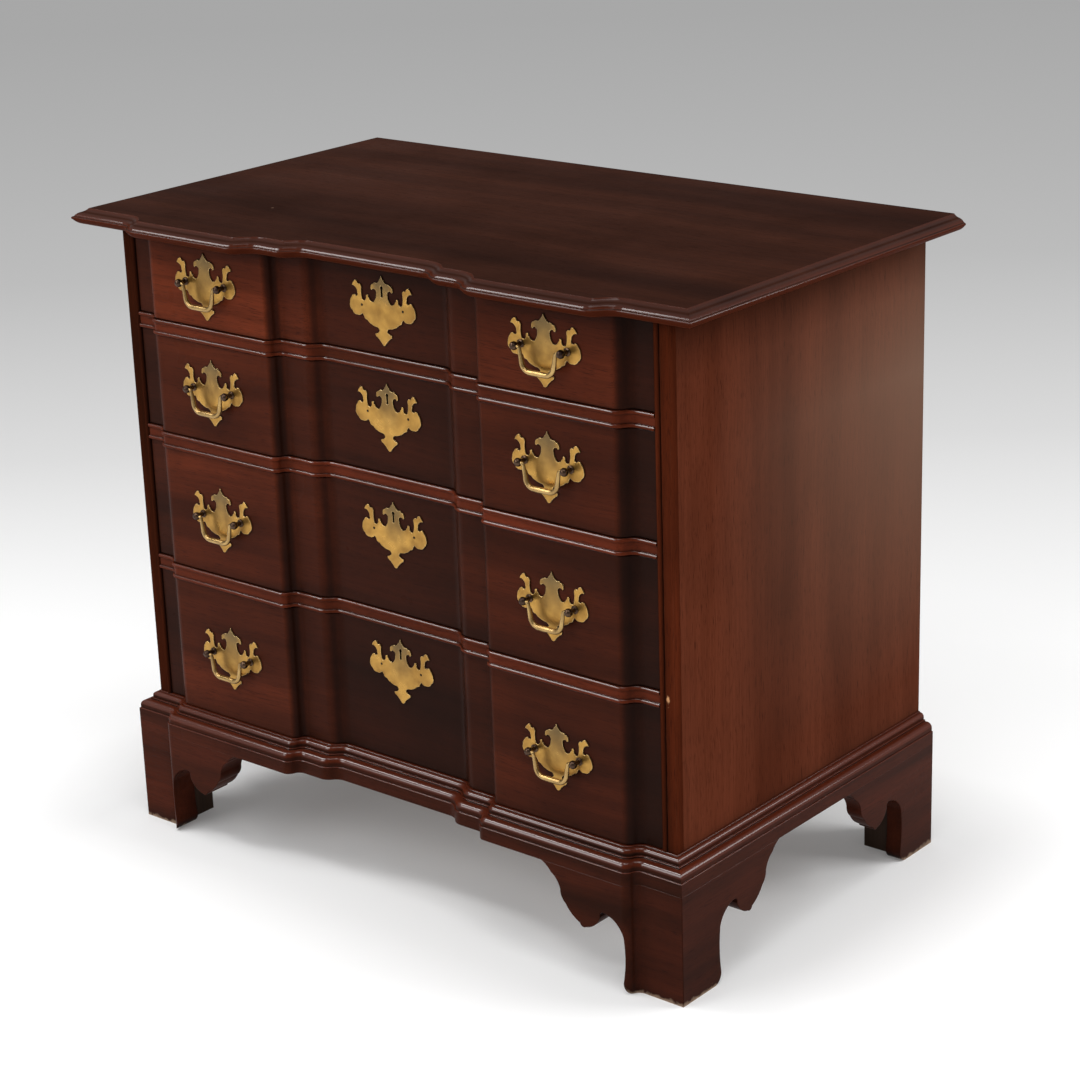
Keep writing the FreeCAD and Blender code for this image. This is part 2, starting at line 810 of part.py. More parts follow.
def base_mould_side(side):
    """The same moulding along a side of the case."""
    body = node_body("base_mould_" + side)

    def plan(member):
        end = member + "_end"
        front = "- saw_reach"
        return [("case_half", front), (end, front), (end, "case_depth"), ("case_half", "case_depth")]

    def on_outside(member):
        limit = number(member + "_end") - 0.1
        return lambda box: max(abs(box.XMin), abs(box.XMax)) > limit and box.XLength < 0.01

    base_layers(body, plan, on_outside, SIDES[side])
    mitre(body, SIDES[side], "foot_height", "mould_height", False)


# The scroll of a bracket foot from the floor up to the moulding: distance from the corner of the
# foot and height, then the radius and turn of the arc that follows.
FOOT_SCROLL = [
    ("58.5", "0", "13", 1),
    ("70.5", "13", "190", -1),
    ("69.5", "70", "32", -1),
    ("97.5", "92", "5", -1),
    ("101.5", "85", "26", 1),
    ("122", "67", "5", 1),
    ("130", "70", "45", 1),
    ("150", "88", "18", 1),
    ("157", "103", "28", -1),
    ("170", "121", "30", -1),
    ("184", "132"),
]


def scroll_waste(corner, sign):
    """The wood sawn away beside a foot whose corner is given; sign is the way in from that corner."""
    waste = []
    for place, height, *arc in FOOT_SCROLL:
        if sign == "-":
            arc = mirrored_arc(arc) if arc else arc
        waste.append(("%s %s %s" % (corner, sign, place), height) + tuple(arc))
    far = "%s %s foot_length %s saw_reach" % (corner, sign, sign)
    return waste + [(far, "foot_height"), (far, "0")]


def foot_front(side):
    """The front half of a front bracket foot, blocked like the moulding above it."""
    body = node_body("foot_front_" + side)
    inner = "band_end - foot_length"
    block = "band_face - block_step"
    plan = outline(body, "plan", "XY_Plane", [
        (inner, "0"),
        (inner, block),
        ("band_block_out", block, "band_outer_convex", 1),
        ("band_outer_half", "band_face - band_outer_rise", "band_outer_concave", -1),
        ("band_strip_out", "band_face"),
        ("band_end", "band_face"),
        ("band_end", "0"),
    ], "0", SIDES[side])
    pad(plan, "foot_height")
    cut_through(outline(body, "scroll", "XZ_Plane", scroll_waste("band_end", "-"), "0", SIDES[side]))
    mitre(body, SIDES[side], "0", "foot_height", True)


def foot_side(side, end):
    """A side half of a bracket foot, at the front or at the rear of the case."""
    body = loose_body("bracket_%s_%s" % (side, end))
    near, far, corner, sign = {
        "front": ("- saw_reach", "band_face + foot_length", "band_face", "+"),
        "rear": ("case_depth - foot_length", "case_depth", "case_depth", "-"),
    }[end]
    pad(rectangle(body, "plan", "XY_Plane", ("case_half", near), ("band_end", far), "0", SIDES[side]),
        "foot_height")
    if end == "front":
        mitre(body, SIDES[side], "0", "foot_height", False)
    cut_through(outline(body, "scroll", "YZ_Plane", scroll_waste(corner, sign)))
    return body


def foot_back(side):
    """The plain bracket across the back of a rear foot, with a sloped inner end."""
    body = loose_body("bracket_back_" + side)
    shape = outline(body, "shape", "XZ_Plane", [
        ("case_half", "0"),
        ("case_half", "foot_height"),
        ("case_half - bracket_length", "foot_height"),
        ("case_half - bracket_length", "foot_height - bracket_end_drop"),
        ("case_half - bracket_knee", "foot_height - bracket_knee_drop"),
        ("case_half - bracket_heel", "0"),
    ], "bracket_inset - case_depth", SIDES[side])
    pad(shape, "side_thickness")
    return body


def feet():
    """The bracket feet, with the blocks glued into their corners."""
    for side in SIDES:
        foot_front(side)
    group("foot_sides", [foot_side(side, end) for side in SIDES for end in ("front", "rear")])
    group("foot_backs", [foot_back(side) for side in SIDES])
    rear = "case_depth - bracket_inset - side_thickness"
    blocks = []
    for side, near, far in (("left", "- case_half", "- case_half + glue_block"),
                            ("right", "case_half - glue_block", "case_half")):
        for end, low, high in (("front", "0", "glue_block"), ("rear", rear + " - glue_block", rear)):
            blocks.append(board("block_%s_%s" % (side, end), (near, low, "glue_block_lift"),
                                (far, high, "foot_height")))
    group("glue_blocks", blocks)


# ---------------------------------------------------------------------------------------
# The drawers
# ---------------------------------------------------------------------------------------

def dovetail_cut(body, name, root, end, middle, half_root, half_end, near):
    """One tapered cut through the thickness of a drawer side, drawn from its root to its end."""
    sketch = outline(body, name, "YZ_Plane", [
        (root, "%s - %s" % (middle, half_root)),
        (end, "%s - %s" % (middle, half_end)),
        (end, "%s + %s" % (middle, half_end)),
        (root, "%s + %s" % (middle, half_root)),
    ], near)
    return pocket(sketch, "box_side")


def tail_sockets(body, drawer, root, end, near, name):
    """Sockets for the tails of a drawer side."""
    cut = dovetail_cut(body, name, root, end, "tail_middle_%d" % drawer, "tail_root_%d" % drawer,
                       "tail_end_%d" % drawer, near)
    repeat_up(body, cut, "tail_pitch_%d" % drawer, int(number("tails_%d" % drawer)))


def tail_gaps(body, drawer, root, end, near, name, first):
    """The gaps between the tails; first is 0 to cut the one below the lowest tail too."""
    middle = "front_low_%d" % drawer + (" + tail_pitch_%d" % drawer) * first
    cut = dovetail_cut(body, name, root, end, middle, "gap_root_%d" % drawer, "gap_end_%d" % drawer, near)
    repeat_up(body, cut, "tail_pitch_%d" % drawer, int(number("tails_%d" % drawer)) + 1 - first)


def side_start(flip):
    """The lower x of a drawer side."""
    return "front_half - box_side" if flip > 0 else "- front_half"


def drawer_front(drawer):
    """A solid front sawn to the blocked outline, socketed for the sides and grooved for the bottom."""
    body = node_body("drawer_front_%d" % drawer)
    low = "front_low_%d" % drawer
    corners = blocked_front("blade", "front_face", "front_half")
    corners += [("front_half", "front_back"), ("- front_half", "front_back")]
    pad(outline(body, "plan", "XY_Plane", corners, low), "front_height_%d" % drawer)
    groove = rectangle(body, "groove", "XY_Plane",
                       ("- front_half + groove_depth", "front_back - groove_depth"),
                       ("front_half - groove_depth", "front_back"), low + " + panel_lift")
    pocket(groove, "panel_thickness")
    for side, flip in SIDES.items():
        tail_sockets(body, drawer, "front_back", "front_back - socket_depth", side_start(flip),
                     "sockets_" + side)
    bed = rectangle(body, "lock_bed", "XY_Plane", ("- lock_half", "front_back - lock_depth"),
                    ("lock_half", "front_back"), "front_high_%d - lock_height" % drawer)
    pocket(bed, "lock_height")
    cut_through(keyhole(body, "front_high_%d" % drawer))
    for side, middle in (("left", "- pull_middle"), ("right", "pull_middle")):
        for index, across in enumerate((" - boring_half", " + boring_half")):
            cut_through(circle(body, "bore_%s_%d" % (side, index), "XZ_Plane",
                               (middle + across, "pull_height_%d" % drawer), "bore_radius"))


def keyhole(body, top):
    """A narrow slot with a round head, below the level given."""
    shoulder = top + " - key_high - key_head - key_head_rise"
    return outline(body, "keyhole", "XZ_Plane", [
        ("- key_slot_half", top + " - key_low"),
        ("key_slot_half", top + " - key_low"),
        ("key_slot_half", shoulder, "key_head", 1),
        ("0", top + " - key_high", "key_head", 1),
        ("- key_slot_half", shoulder),
    ])


def drawer_box(drawer):
    """The sides, the back and the bottom of a drawer, dovetailed together."""
    low = "front_low_%d" % drawer
    height = "box_height_%d" % drawer
    end = "front_back - socket_depth"
    sides = []
    for side, flip in SIDES.items():
        body = loose_body("drawer_%d_side_%s" % (drawer, side))
        pad(rectangle(body, "plan", "XY_Plane", ("front_half - box_side", end), ("front_half", "box_rear"),
                      low, flip), height)
        groove = rectangle(body, "groove", "XY_Plane",
                           ("front_half - box_side", "front_back - groove_depth"),
                           ("front_half - groove_depth", "box_rear"), low + " + panel_lift", flip)
        pocket(groove, "panel_thickness")
        near = side_start(flip)
        tail_gaps(body, drawer, "front_back", end, near, "front_gaps", 0)
        tail_gaps(body, drawer, "box_rear - box_back", "box_rear", near, "rear_gaps", 1)
        sides.append(body)
    group("drawer_sides_%d" % drawer, sides)

    body = node_body("drawer_back_%d" % drawer)
    pad(rectangle(body, "plan", "XY_Plane", ("- front_half", "box_rear - box_back"),
                  ("front_half", "box_rear"), low), height)
    for side, flip in SIDES.items():
        tail_sockets(body, drawer, "box_rear - box_back", "box_rear", side_start(flip), "sockets_" + side)
    under = rectangle(body, "under", "XY_Plane", ("- front_half - 1", "box_rear - box_back"),
                      ("front_half + 1", "box_rear"), low)
    pocket(under, "panel_lift + panel_thickness")

    panel_low = low + " + panel_lift"
    group("drawer_bottom_%d" % drawer, [board(
        "bottom_panel_%d" % drawer,
        ("- front_half + groove_depth", "front_back - groove_depth", panel_low),
        ("front_half - groove_depth", "box_rear - 1", panel_low + " + panel_thickness"))])


def lock(drawer):
    """A lock let into the back of a drawer front, and the bolt that rises from it."""
    top = "front_high_%d" % drawer
    body = node_body("lock_case_%d" % drawer)
    pad(rectangle(body, "plan", "XY_Plane", ("- lock_half", "front_back - lock_depth"),
                  ("lock_half", "front_back"), top + " - lock_height"), "lock_height")
    bolt_front = "front_back - bolt_wall - bolt_thickness"
    bolt_back = "front_back - bolt_wall"
    channel = rectangle(body, "channel", "XY_Plane",
                        ("- bolt_half - bolt_clearance", bolt_front + " - bolt_clearance"),
                        ("bolt_half + bolt_clearance", bolt_back + " + bolt_clearance"),
                        top + " - bolt_height - bolt_travel_room")
    pocket(channel, "bolt_height + bolt_travel_room")
    cut_through(keyhole(body, top))
    bolt = node_body("lock_bolt_%d" % drawer)
    pad(rectangle(bolt, "plan", "XY_Plane", ("- bolt_half", bolt_front), ("bolt_half", bolt_back),
                  top + " - bolt_height - bolt_low"), "bolt_height")


# ---------------------------------------------------------------------------------------
# The brasses
# ---------------------------------------------------------------------------------------

# The right half of the willow outline from its top point to its bottom point: x and z from the
# middle of the post holes, then how far the arc that follows swells to the right of the way.
WILLOW = [
    (0, 37, 0.6),
    (3.4, 31.2, 0.7),
    (7.6, 27.6, -1),
    (12.4, 26.2, -1.4),
    (16, 21.6, -0.9),
    (14.6, 18.9, 1),
    (10.6, 20.2, 1.2),
    (8.4, 15.2, 0.8),
    (11.4, 7, 1),
    (15.6, 5.4, 0.8),
    (19.4, 8.8, 0.8),
    (21, 12.2, -1),
    (24, 10.8, 0.8),
    (25.6, 6, 0.8),
    (29.8, 6.4, 1),
    (30.8, 20.4, -0.7),
    (33.6, 23.8, 0.9),
    (36.6, 24.8, -0.6),
    (39.4, 27.2, -0.8),
    (44.6, 20.8, 0.6),
    (39.6, 19.2, 0.9),
    (37, 13.2, 1.2),
    (38.6, 9, 0.5),
    (41.4, 10.4, -1),
    (45.6, 7.6, -0.8),
    (48.8, 0.6, -1.8),
    (45.4, -8.4, -1.4),
    (38.6, -12.3, -1.3),
    (31, -9.6, 0.7),
    (27.6, -14.6, -0.5),
    (23.4, -16.4, -0.6),
    (17.6, -20.6, -0.4),
    (10.4, -22.8, 1.2),
    (5.6, -26.6, 0.8),
    (12.2, -30.4, -0.9),
    (9.6, -34.2, 0.5),
    (2, -42, -0.3),
    (0, -43),
]


def willow_plate(name):
    """A cast plate of the willow outline, its back on y = 0."""
    body = loose_body(name)
    left = mirrored(WILLOW)
    bottom = WILLOW[-1] + left[0][2:]
    pad(outline(body, "outline", "XZ_Plane", WILLOW[:-1] + [bottom] + left[1:-1]), "plate_thickness")
    return body


def pull_plate():
    """A plate bored for the two posts of a pull."""
    body = willow_plate("pull_plate")
    for index, across in enumerate(("- boring_half", "boring_half")):
        cut_through(circle(body, "bore_%d" % index, "XZ_Plane", (across, "0"), "shank_radius"))
    return body


def key_plate():
    """The same plate as an escutcheon, pierced for the key."""
    body = willow_plate("key_plate")
    cut_through(keyhole(body, "key_plate_drop"))
    return body


def post():
    """A ball-headed post with its shank, its collar on y = 0 and its head to the front."""
    body = loose_body("post")
    section = outline(body, "section", "XY_Plane", [
        ("0", "shank_length"),
        ("0", "- pivot_reach - ball_radius", "ball_radius", 1),
        ("ball_radius", "- pivot_reach", "ball_radius", 1),
        ("neck_radius", "- pivot_reach + neck_top"),
        ("neck_radius", "- collar_slope"),
        ("collar_radius", "- collar_edge"),
        ("collar_radius", "0"),
        ("shank_radius", "0"),
        ("shank_radius", "shank_length"),
    ])
    turn_round(section, "post_turning", "V_Axis")
    cut_through(circle(body, "pin_bore", "YZ_Plane", ("- pivot_reach", "0"), "wire_radius + pin_clearance"))
    return body


def nut():
    """The hexagon nut that draws a post tight from inside the drawer."""
    body = loose_body("nut")
    across = number("nut_across") / math.sqrt(3)
    corners = [(across * math.cos(math.radians(60 * turn)), across * math.sin(math.radians(60 * turn)))
               for turn in range(6)]
    pad(outline(body, "hexagon", "XZ_Plane", corners), "nut_thickness", back=True)
    cut_through(circle(body, "thread", "XZ_Plane", ("0", "0"), "shank_radius"))
    return body


def bail():
    """A drop handle that hangs from two pins; its lower bar swells towards the middle."""
    body = loose_body("bail")
    right = [
        ("bar_half", "- bail_drop", "corner_radius", 1),
        ("arm_foot", "- arm_foot_drop"),
        ("arm_top", "- arm_top_drop", "elbow_radius", -1),
        ("arm_half + elbow_radius", "0"),
        ("pin_end", "0"),
    ]
    path = outline(body, "path", "XZ_Plane", mirrored(right) + right, closed=False)
    ring = circle(body, "ring", "YZ_Plane", ("0", "0"), "wire_radius", "- pin_end")
    rod = body.newObject("PartDesign::AdditivePipe", "bail_rod")
    rod.Profile = ring
    rod.Spine = (path, [""])
    doc.recompute()
    surface = "wire_radius - bail_drop - swell_sink"
    turn_round(outline(body, "swell", "XZ_Plane", [
        ("- bar_half", "- bail_drop"),
        ("bar_half", "- bail_drop"),
        ("bar_half", surface, number("swell_rise")),
        ("- bar_half", surface),
    ]), "bail_swelling", "Edge1")
    return body


def placed(name, pieces):
    """A node of copies of finished pieces, each moved to its own place in the case."""
    solids = []
    for piece, place in pieces:
        copy = piece.Shape.copy()
        copy.translate(Vector(*[number(words) for words in place]))
        solids += copy.Solids
    feature = doc.addObject("Part::Feature", name)
    feature.Label = name
    feature.Shape = Part.makeCompound(solids)
    feature.Placement = Placement(Vector(0, number("case_shift"), 0), Rotation())
    nodes.append(feature)


def brasses():
    """The plates, posts and bails of every drawer."""
    pull = pull_plate()
    escutcheon = key_plate()
    ball_post = post()
    small_nut = nut()
    drop = bail()
    block = "front_face - block_step"
    for drawer in DRAWERS:
        height = "pull_height_%d" % drawer
        placed("brass_plates_%d" % drawer, [
            (pull, ("- pull_middle", block, height)),
            (pull, ("pull_middle", block, height)),
            (escutcheon, ("0", "front_face + recess_step", "front_high_%d - key_plate_drop" % drawer)),
        ])
        hardware = []
        for side in ("- pull_middle", "pull_middle"):
            for across in (" - boring_half", " + boring_half"):
                hardware.append((ball_post, (side + across, block + " - plate_thickness", height)))
                hardware.append((small_nut, (side + across, "front_back", height)))
        placed("pull_posts_%d" % drawer, hardware)
        for name, side in (("left", "- pull_middle"), ("right", "pull_middle")):
            placed("bail_%d_%s" % (drawer, name),
                   [(drop, (side, block + " - plate_thickness - pivot_reach", height))])


# ---------------------------------------------------------------------------------------
# Build, check and write
# ---------------------------------------------------------------------------------------

def build():
    fill_sheet()
    top_board()
    for side in SIDES:
        side_panel(side)
        stile(side)
        base_mould_side(side)
    for index in (1, 2, 3):
        blade(index)
    inner_case()
    base_mould_front()
    feet()
    for drawer in DRAWERS:
        drawer_front(drawer)
        drawer_box(drawer)
        lock(drawer)
    brasses()
    doc.recompute()


def write_parts():
    """Writes each node, after every object has been found sound."""
    for item in doc.Objects:
        if "Invalid" in item.State or "Error" in item.State:
            raise RuntimeError("%s is %s" % (item.Name, item.State))
    for node in nodes:
        if node.Shape.isNull() or not node.Shape.isValid():
            raise RuntimeError(node.Label + " is not a sound shape")
    os.makedirs("parts", exist_ok=True)
    for node in nodes:
        node.Shape.exportStep("parts/%s.step" % node.Label)
        count = len(node.Shape.Solids)
        print("%-20s solids %2d  volume %10.0f mm3" % (node.Label, count, node.Shape.Volume))


build()
write_parts()
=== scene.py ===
# %% [markdown]
# # A block front chest of drawers
#
# The chest is a mahogany case with a moulded, overhanging top, four graduated drawers whose
# fronts are sawn from thick planks into two raised blocks and a sunk middle, a blocked base
# moulding and bracket feet.  Willow-pattern plates with swinging bails stand on the blocks.
#
# The joinery is already modelled as a fixed frame, one node for each piece of wood or brass.
# This lesson dresses that frame: it gives every board a finish of its own, swaps the plain
# brasses for ones with filed edges, and adds the small things a maker adds last.

import math

import bmesh
import bpy
from mathutils import Matrix, Vector


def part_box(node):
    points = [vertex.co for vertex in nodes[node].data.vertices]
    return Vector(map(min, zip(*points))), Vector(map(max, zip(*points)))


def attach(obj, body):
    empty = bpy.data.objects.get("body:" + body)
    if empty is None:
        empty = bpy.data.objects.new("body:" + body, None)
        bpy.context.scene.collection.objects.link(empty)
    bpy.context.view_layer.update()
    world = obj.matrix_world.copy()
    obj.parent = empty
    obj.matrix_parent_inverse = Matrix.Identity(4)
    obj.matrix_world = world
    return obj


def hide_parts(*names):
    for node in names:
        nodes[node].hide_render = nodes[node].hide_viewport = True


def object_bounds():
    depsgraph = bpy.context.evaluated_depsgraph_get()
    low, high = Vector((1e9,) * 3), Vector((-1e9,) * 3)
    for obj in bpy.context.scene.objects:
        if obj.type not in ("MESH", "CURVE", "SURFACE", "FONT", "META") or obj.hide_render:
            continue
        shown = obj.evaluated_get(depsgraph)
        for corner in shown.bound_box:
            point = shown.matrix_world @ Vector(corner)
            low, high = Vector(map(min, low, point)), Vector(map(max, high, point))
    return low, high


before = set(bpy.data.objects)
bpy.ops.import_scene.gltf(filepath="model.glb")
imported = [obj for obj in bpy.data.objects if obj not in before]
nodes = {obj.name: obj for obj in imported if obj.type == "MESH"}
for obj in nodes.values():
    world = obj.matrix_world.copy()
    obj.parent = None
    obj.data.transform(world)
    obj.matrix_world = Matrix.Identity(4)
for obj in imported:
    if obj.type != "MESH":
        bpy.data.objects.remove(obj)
frame_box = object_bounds()
MM = 0.001
DRAWERS = (1, 2, 3, 4)
SIDES = ("left", "right")
print("nodes:", len(nodes), " box:", [tuple(round(v, 4) for v in corner) for corner in frame_box])

# %% [markdown]
# ## A few helpers for shader nodes
#
# A material is a small graph.  Building it with the raw calls takes three lines for each node,
# so one helper makes a node, sets its options and fills its inputs.  An input that is given an
# output socket is linked to it, and any other value is written into the socket itself.

# %% Make a node, link or set its inputs
def fill(tree, node, inputs):
    """Links or sets the named inputs of a node."""
    for name, value in inputs.items():
        if isinstance(value, bpy.types.NodeSocket):
            tree.links.new(value, node.inputs[name])
        else:
            node.inputs[name].default_value = value
    return node


def add(tree, kind, inputs=None, **options):
    """A new node, such as "Mix" or "Bevel", with its options set and its inputs filled."""
    made = tree.nodes.new("ShaderNode" + kind)
    for option, value in options.items():
        setattr(made, option, value)
    return fill(tree, made, inputs or {})


def use_group(tree, group, inputs):
    return add(tree, "Group", inputs, node_tree=group).outputs


def maths(tree, operation, first, second=0.5, clamp=False):
    return add(tree, "Math", {0: first, 1: second}, operation=operation, use_clamp=clamp).outputs[0]


def vector_maths(tree, operation, first, second=(0.0, 0.0, 0.0)):
    made = add(tree, "VectorMath", {0: first, 1: second}, operation=operation)
    is_number = operation in ("DOT_PRODUCT", "DISTANCE", "LENGTH")
    return made.outputs["Value" if is_number else "Vector"]


def parts(tree, vector):
    """The X, Y and Z of a vector."""
    return add(tree, "SeparateXYZ", {0: vector}).outputs


def facing(tree, axis):
    """How far the surface faces along an axis: 1 straight along it, 0 across it."""
    return parts(tree, add(tree, "NewGeometry").outputs["Normal"])[axis]


def noise(tree, vector, scale, detail=2.0, roughness=0.5):
    inputs = {"Vector": vector, "Scale": scale, "Detail": detail, "Roughness": roughness}
    return add(tree, "TexNoise", inputs).outputs["Fac"]


def blend_colour(tree, share, first, second):
    return add(tree, "Mix", {0: share, 6: first, 7: second}, data_type="RGBA").outputs[2]


def spread(tree, value, low, high, to_low=0.0, to_high=1.0):
    """Stretches the range from low to high over the other range, and stops at its ends."""
    inputs = {"Value": value, "From Min": low, "From Max": high, "To Min": to_low, "To Max": to_high}
    return add(tree, "MapRange", inputs).outputs["Result"]


def colour(red, green, blue, lightness=1.0):
    """A colour as a paint chart gives it, 0 to 255, turned into the linear values shaders use."""
    shares = [lightness * part / 255 for part in (red, green, blue)]
    linear = [((share + 0.055) / 1.055) ** 2.4 if share > 0.04045 else share / 12.92 for share in shares]
    return (*linear, 1.0)


def new_group(name, inputs, outputs):
    """An empty shader node group, with the sockets it is given and the node for its results."""
    tree = bpy.data.node_groups.new(name, "ShaderNodeTree")
    for label, kind, value in inputs:
        socket = tree.interface.new_socket(label, in_out="INPUT", socket_type="NodeSocket" + kind)
        if value is not None:
            socket.default_value = value
    for label, kind in outputs:
        tree.interface.new_socket(label, in_out="OUTPUT", socket_type="NodeSocket" + kind)
    return tree, tree.nodes.new("NodeGroupInput").outputs, tree.nodes.new("NodeGroupOutput")


def new_material(name):
    """An empty material; returns it with its node tree and its shader."""
    material = bpy.data.materials.new(name)
    material.use_nodes = True
    return material, material.node_tree, material.node_tree.nodes["Principled BSDF"]


print("sRGB 70, 30, 22 is", [round(v, 4) for v in colour(70, 30, 22)[:3]])

# %% [markdown]
# ## What every wooden surface shares
#
# Three effects come back on every board, so each is a node group that is built once.
#
# *Grain.*  Mahogany has broad, soft stripes of lighter and darker wood, finer streaks inside
# them and short dark pores.  All three are noise that is stretched along the board: the pattern
# repeats slowly along X and quickly across it.
#
# *Soft arrises.*  A real corner is never perfectly sharp.  The Bevel node gives the normal that
# a slightly rounded corner would have, which catches a thin line of light, and the difference
# from the true normal is a mask of where hands and dusters rub.  A second mask finds the upper
# sides of beads and mouldings, which face neither forwards nor straight up: dusters polish them,
# but miss the short returns where a moulding steps in and out.
#
# *Hollows.*  Ambient Occlusion finds the hollows beside beads, where shade falls.  The wood is
# darkened there: painted shade, together with old finish that stays dark in them.

# %% The grain group: tone, streaks and pores
WANDER = 24 * MM


def stretched_noise(tree, vector, along, across, detail, roughness):
    """Noise drawn out along X: so many features a metre along the grain and across it."""
    scaled = vector_maths(tree, "MULTIPLY", vector, (along, across, across))
    return noise(tree, scaled, 1.0, detail, roughness)


def make_grain_group():
    tree, given, result = new_group(
        "wood_grain",
        [("Vector", "Vector", None), ("Stripes", "Float", 22.0)],
        [("Tone", "Float"), ("Streaks", "Float"), ("Pores", "Float")])
    swirl = add(tree, "TexNoise", {"Vector": given["Vector"], "Scale": 3.2, "Detail": 2.0}).outputs["Color"]
    pull = vector_maths(tree, "MULTIPLY", swirl, (0.0, WANDER, WANDER))
    bent = vector_maths(tree, "ADD", given["Vector"], pull)
    stripes = add(tree, "CombineXYZ", {0: 0.9, 1: given["Stripes"], 2: given["Stripes"]}).outputs[0]
    tone = noise(tree, vector_maths(tree, "MULTIPLY", bent, stripes), 1.0, detail=3.0, roughness=0.55)
    streaks = stretched_noise(tree, bent, along=5.0, across=240.0, detail=3.0, roughness=0.6)
    pores = stretched_noise(tree, bent, along=55.0, across=1300.0, detail=1.0, roughness=0.5)
    fill(tree, result, {
        "Tone": spread(tree, tone, 0.3, 0.7),
        "Streaks": spread(tree, streaks, 0.35, 0.65),
        "Pores": spread(tree, pores, 0.6, 0.7),
    })
    return tree


grain_group = make_grain_group()
print("group:", grain_group.name)

# %% The arris group: a rounded normal, a wear mask and a mask of upper sides
MASK_SAMPLES = 6


def make_arris_group():
    tree, given, result = new_group(
        "soft_arris",
        [("Radius", "Float", 1.2 * MM), ("Vector", "Vector", None), ("Wear", "Float", 0.5)],
        [("Normal", "Vector"), ("Worn", "Float"), ("Edge", "Float"), ("Upper", "Float")])
    rounded = add(tree, "Bevel", {"Radius": given["Radius"]}, samples=MASK_SAMPLES).outputs[0]
    agreement = vector_maths(tree, "DOT_PRODUCT", rounded, add(tree, "NewGeometry").outputs["Normal"])
    edge = spread(tree, maths(tree, "SUBTRACT", 1.0, agreement), 0.01, 0.1)
    patches = spread(tree, noise(tree, given["Vector"], 45.0, detail=3.0), 0.42, 0.68)
    rubbed_and_lit = maths(tree, "MULTIPLY", edge, patches)
    way = parts(tree, rounded)
    rising = spread(tree, way["Z"], 0.15, 0.4)
    not_level = spread(tree, way["Z"], 0.97, 0.88)
    askew = maths(tree, "ABSOLUTE", maths(tree, "MULTIPLY", way["X"], way["Y"]))
    not_return = spread(tree, askew, 0.25, 0.1)
    upper = maths(tree, "MULTIPLY", maths(tree, "MULTIPLY", rising, not_level), not_return)
    fill(tree, result, {
        "Normal": rounded,
        "Worn": maths(tree, "MULTIPLY", rubbed_and_lit, given["Wear"]),
        "Edge": edge,
        "Upper": upper,
    })
    return tree


arris_group = make_arris_group()
print("group:", arris_group.name)

# %% The hollow group: a mask of the hollows, where shade falls
def make_hollow_shade_group():
    tree, given, result = new_group(
        "hollow_shade",
        [("Reach", "Float", 18 * MM), ("Strength", "Float", 0.6)],
        [("Dark", "Float")])
    hidden = add(tree, "AmbientOcclusion", {"Distance": given["Reach"]}, samples=MASK_SAMPLES).outputs["AO"]
    closed = spread(tree, hidden, 0.95, 0.35)
    fill(tree, result, {"Dark": maths(tree, "MULTIPLY", closed, given["Strength"])})
    return tree


hollow_shade_group = make_hollow_shade_group()
print("group:", hollow_shade_group.name)

# %% [markdown]
# ## Mahogany
#
# The boards come from different planks, so no two show the same stripes.  What they share is
# one more group, which lays the grain, the painted shade and old glaze in the hollows, the worn
# arrises and the stains over each other.  One function then makes a board's material from the
# way its grain runs, a shift that picks its place in the log, and the two colours its stripes
# lie between.
#
# The flats have gone nearly matt, with the pores just showing through.  Only the upper sides of
# beads and mouldings keep a polish, so the gloss is a coat that the arris group's mask lays on.

# %% Turn the grain of a board
QUARTER = math.radians(90)
GRAIN_TURN = {
    "x": (0.0, 0.0, 0.0),
    "y": (0.0, 0.0, QUARTER),
    "z": (0.0, QUARTER, 0.0),
}


def board_vector(tree, grain, shift):
    """Object coordinates with the grain laid along X, moved to the board's place in the log."""
    coordinates = add(tree, "TexCoord").outputs["Object"]
    inputs = {"Vector": coordinates, "Rotation": GRAIN_TURN[grain],
              "Location": (shift, 0.37 * shift, 0.61 * shift)}
    return coordinates, add(tree, "Mapping", inputs).outputs[0]


print("the grain can run along:", ", ".join(GRAIN_TURN))

# %% The mahogany group: what all the polished boards share
WORN_MAHOGANY = colour(170, 106, 76)
PORE_BROWN = colour(29, 14, 11)
# Painted shade in hollows, sunk parts and under the top, and also the brown of old glaze and stains.
GLAZE_AND_SHADE_BROWN = colour(25, 14, 10)


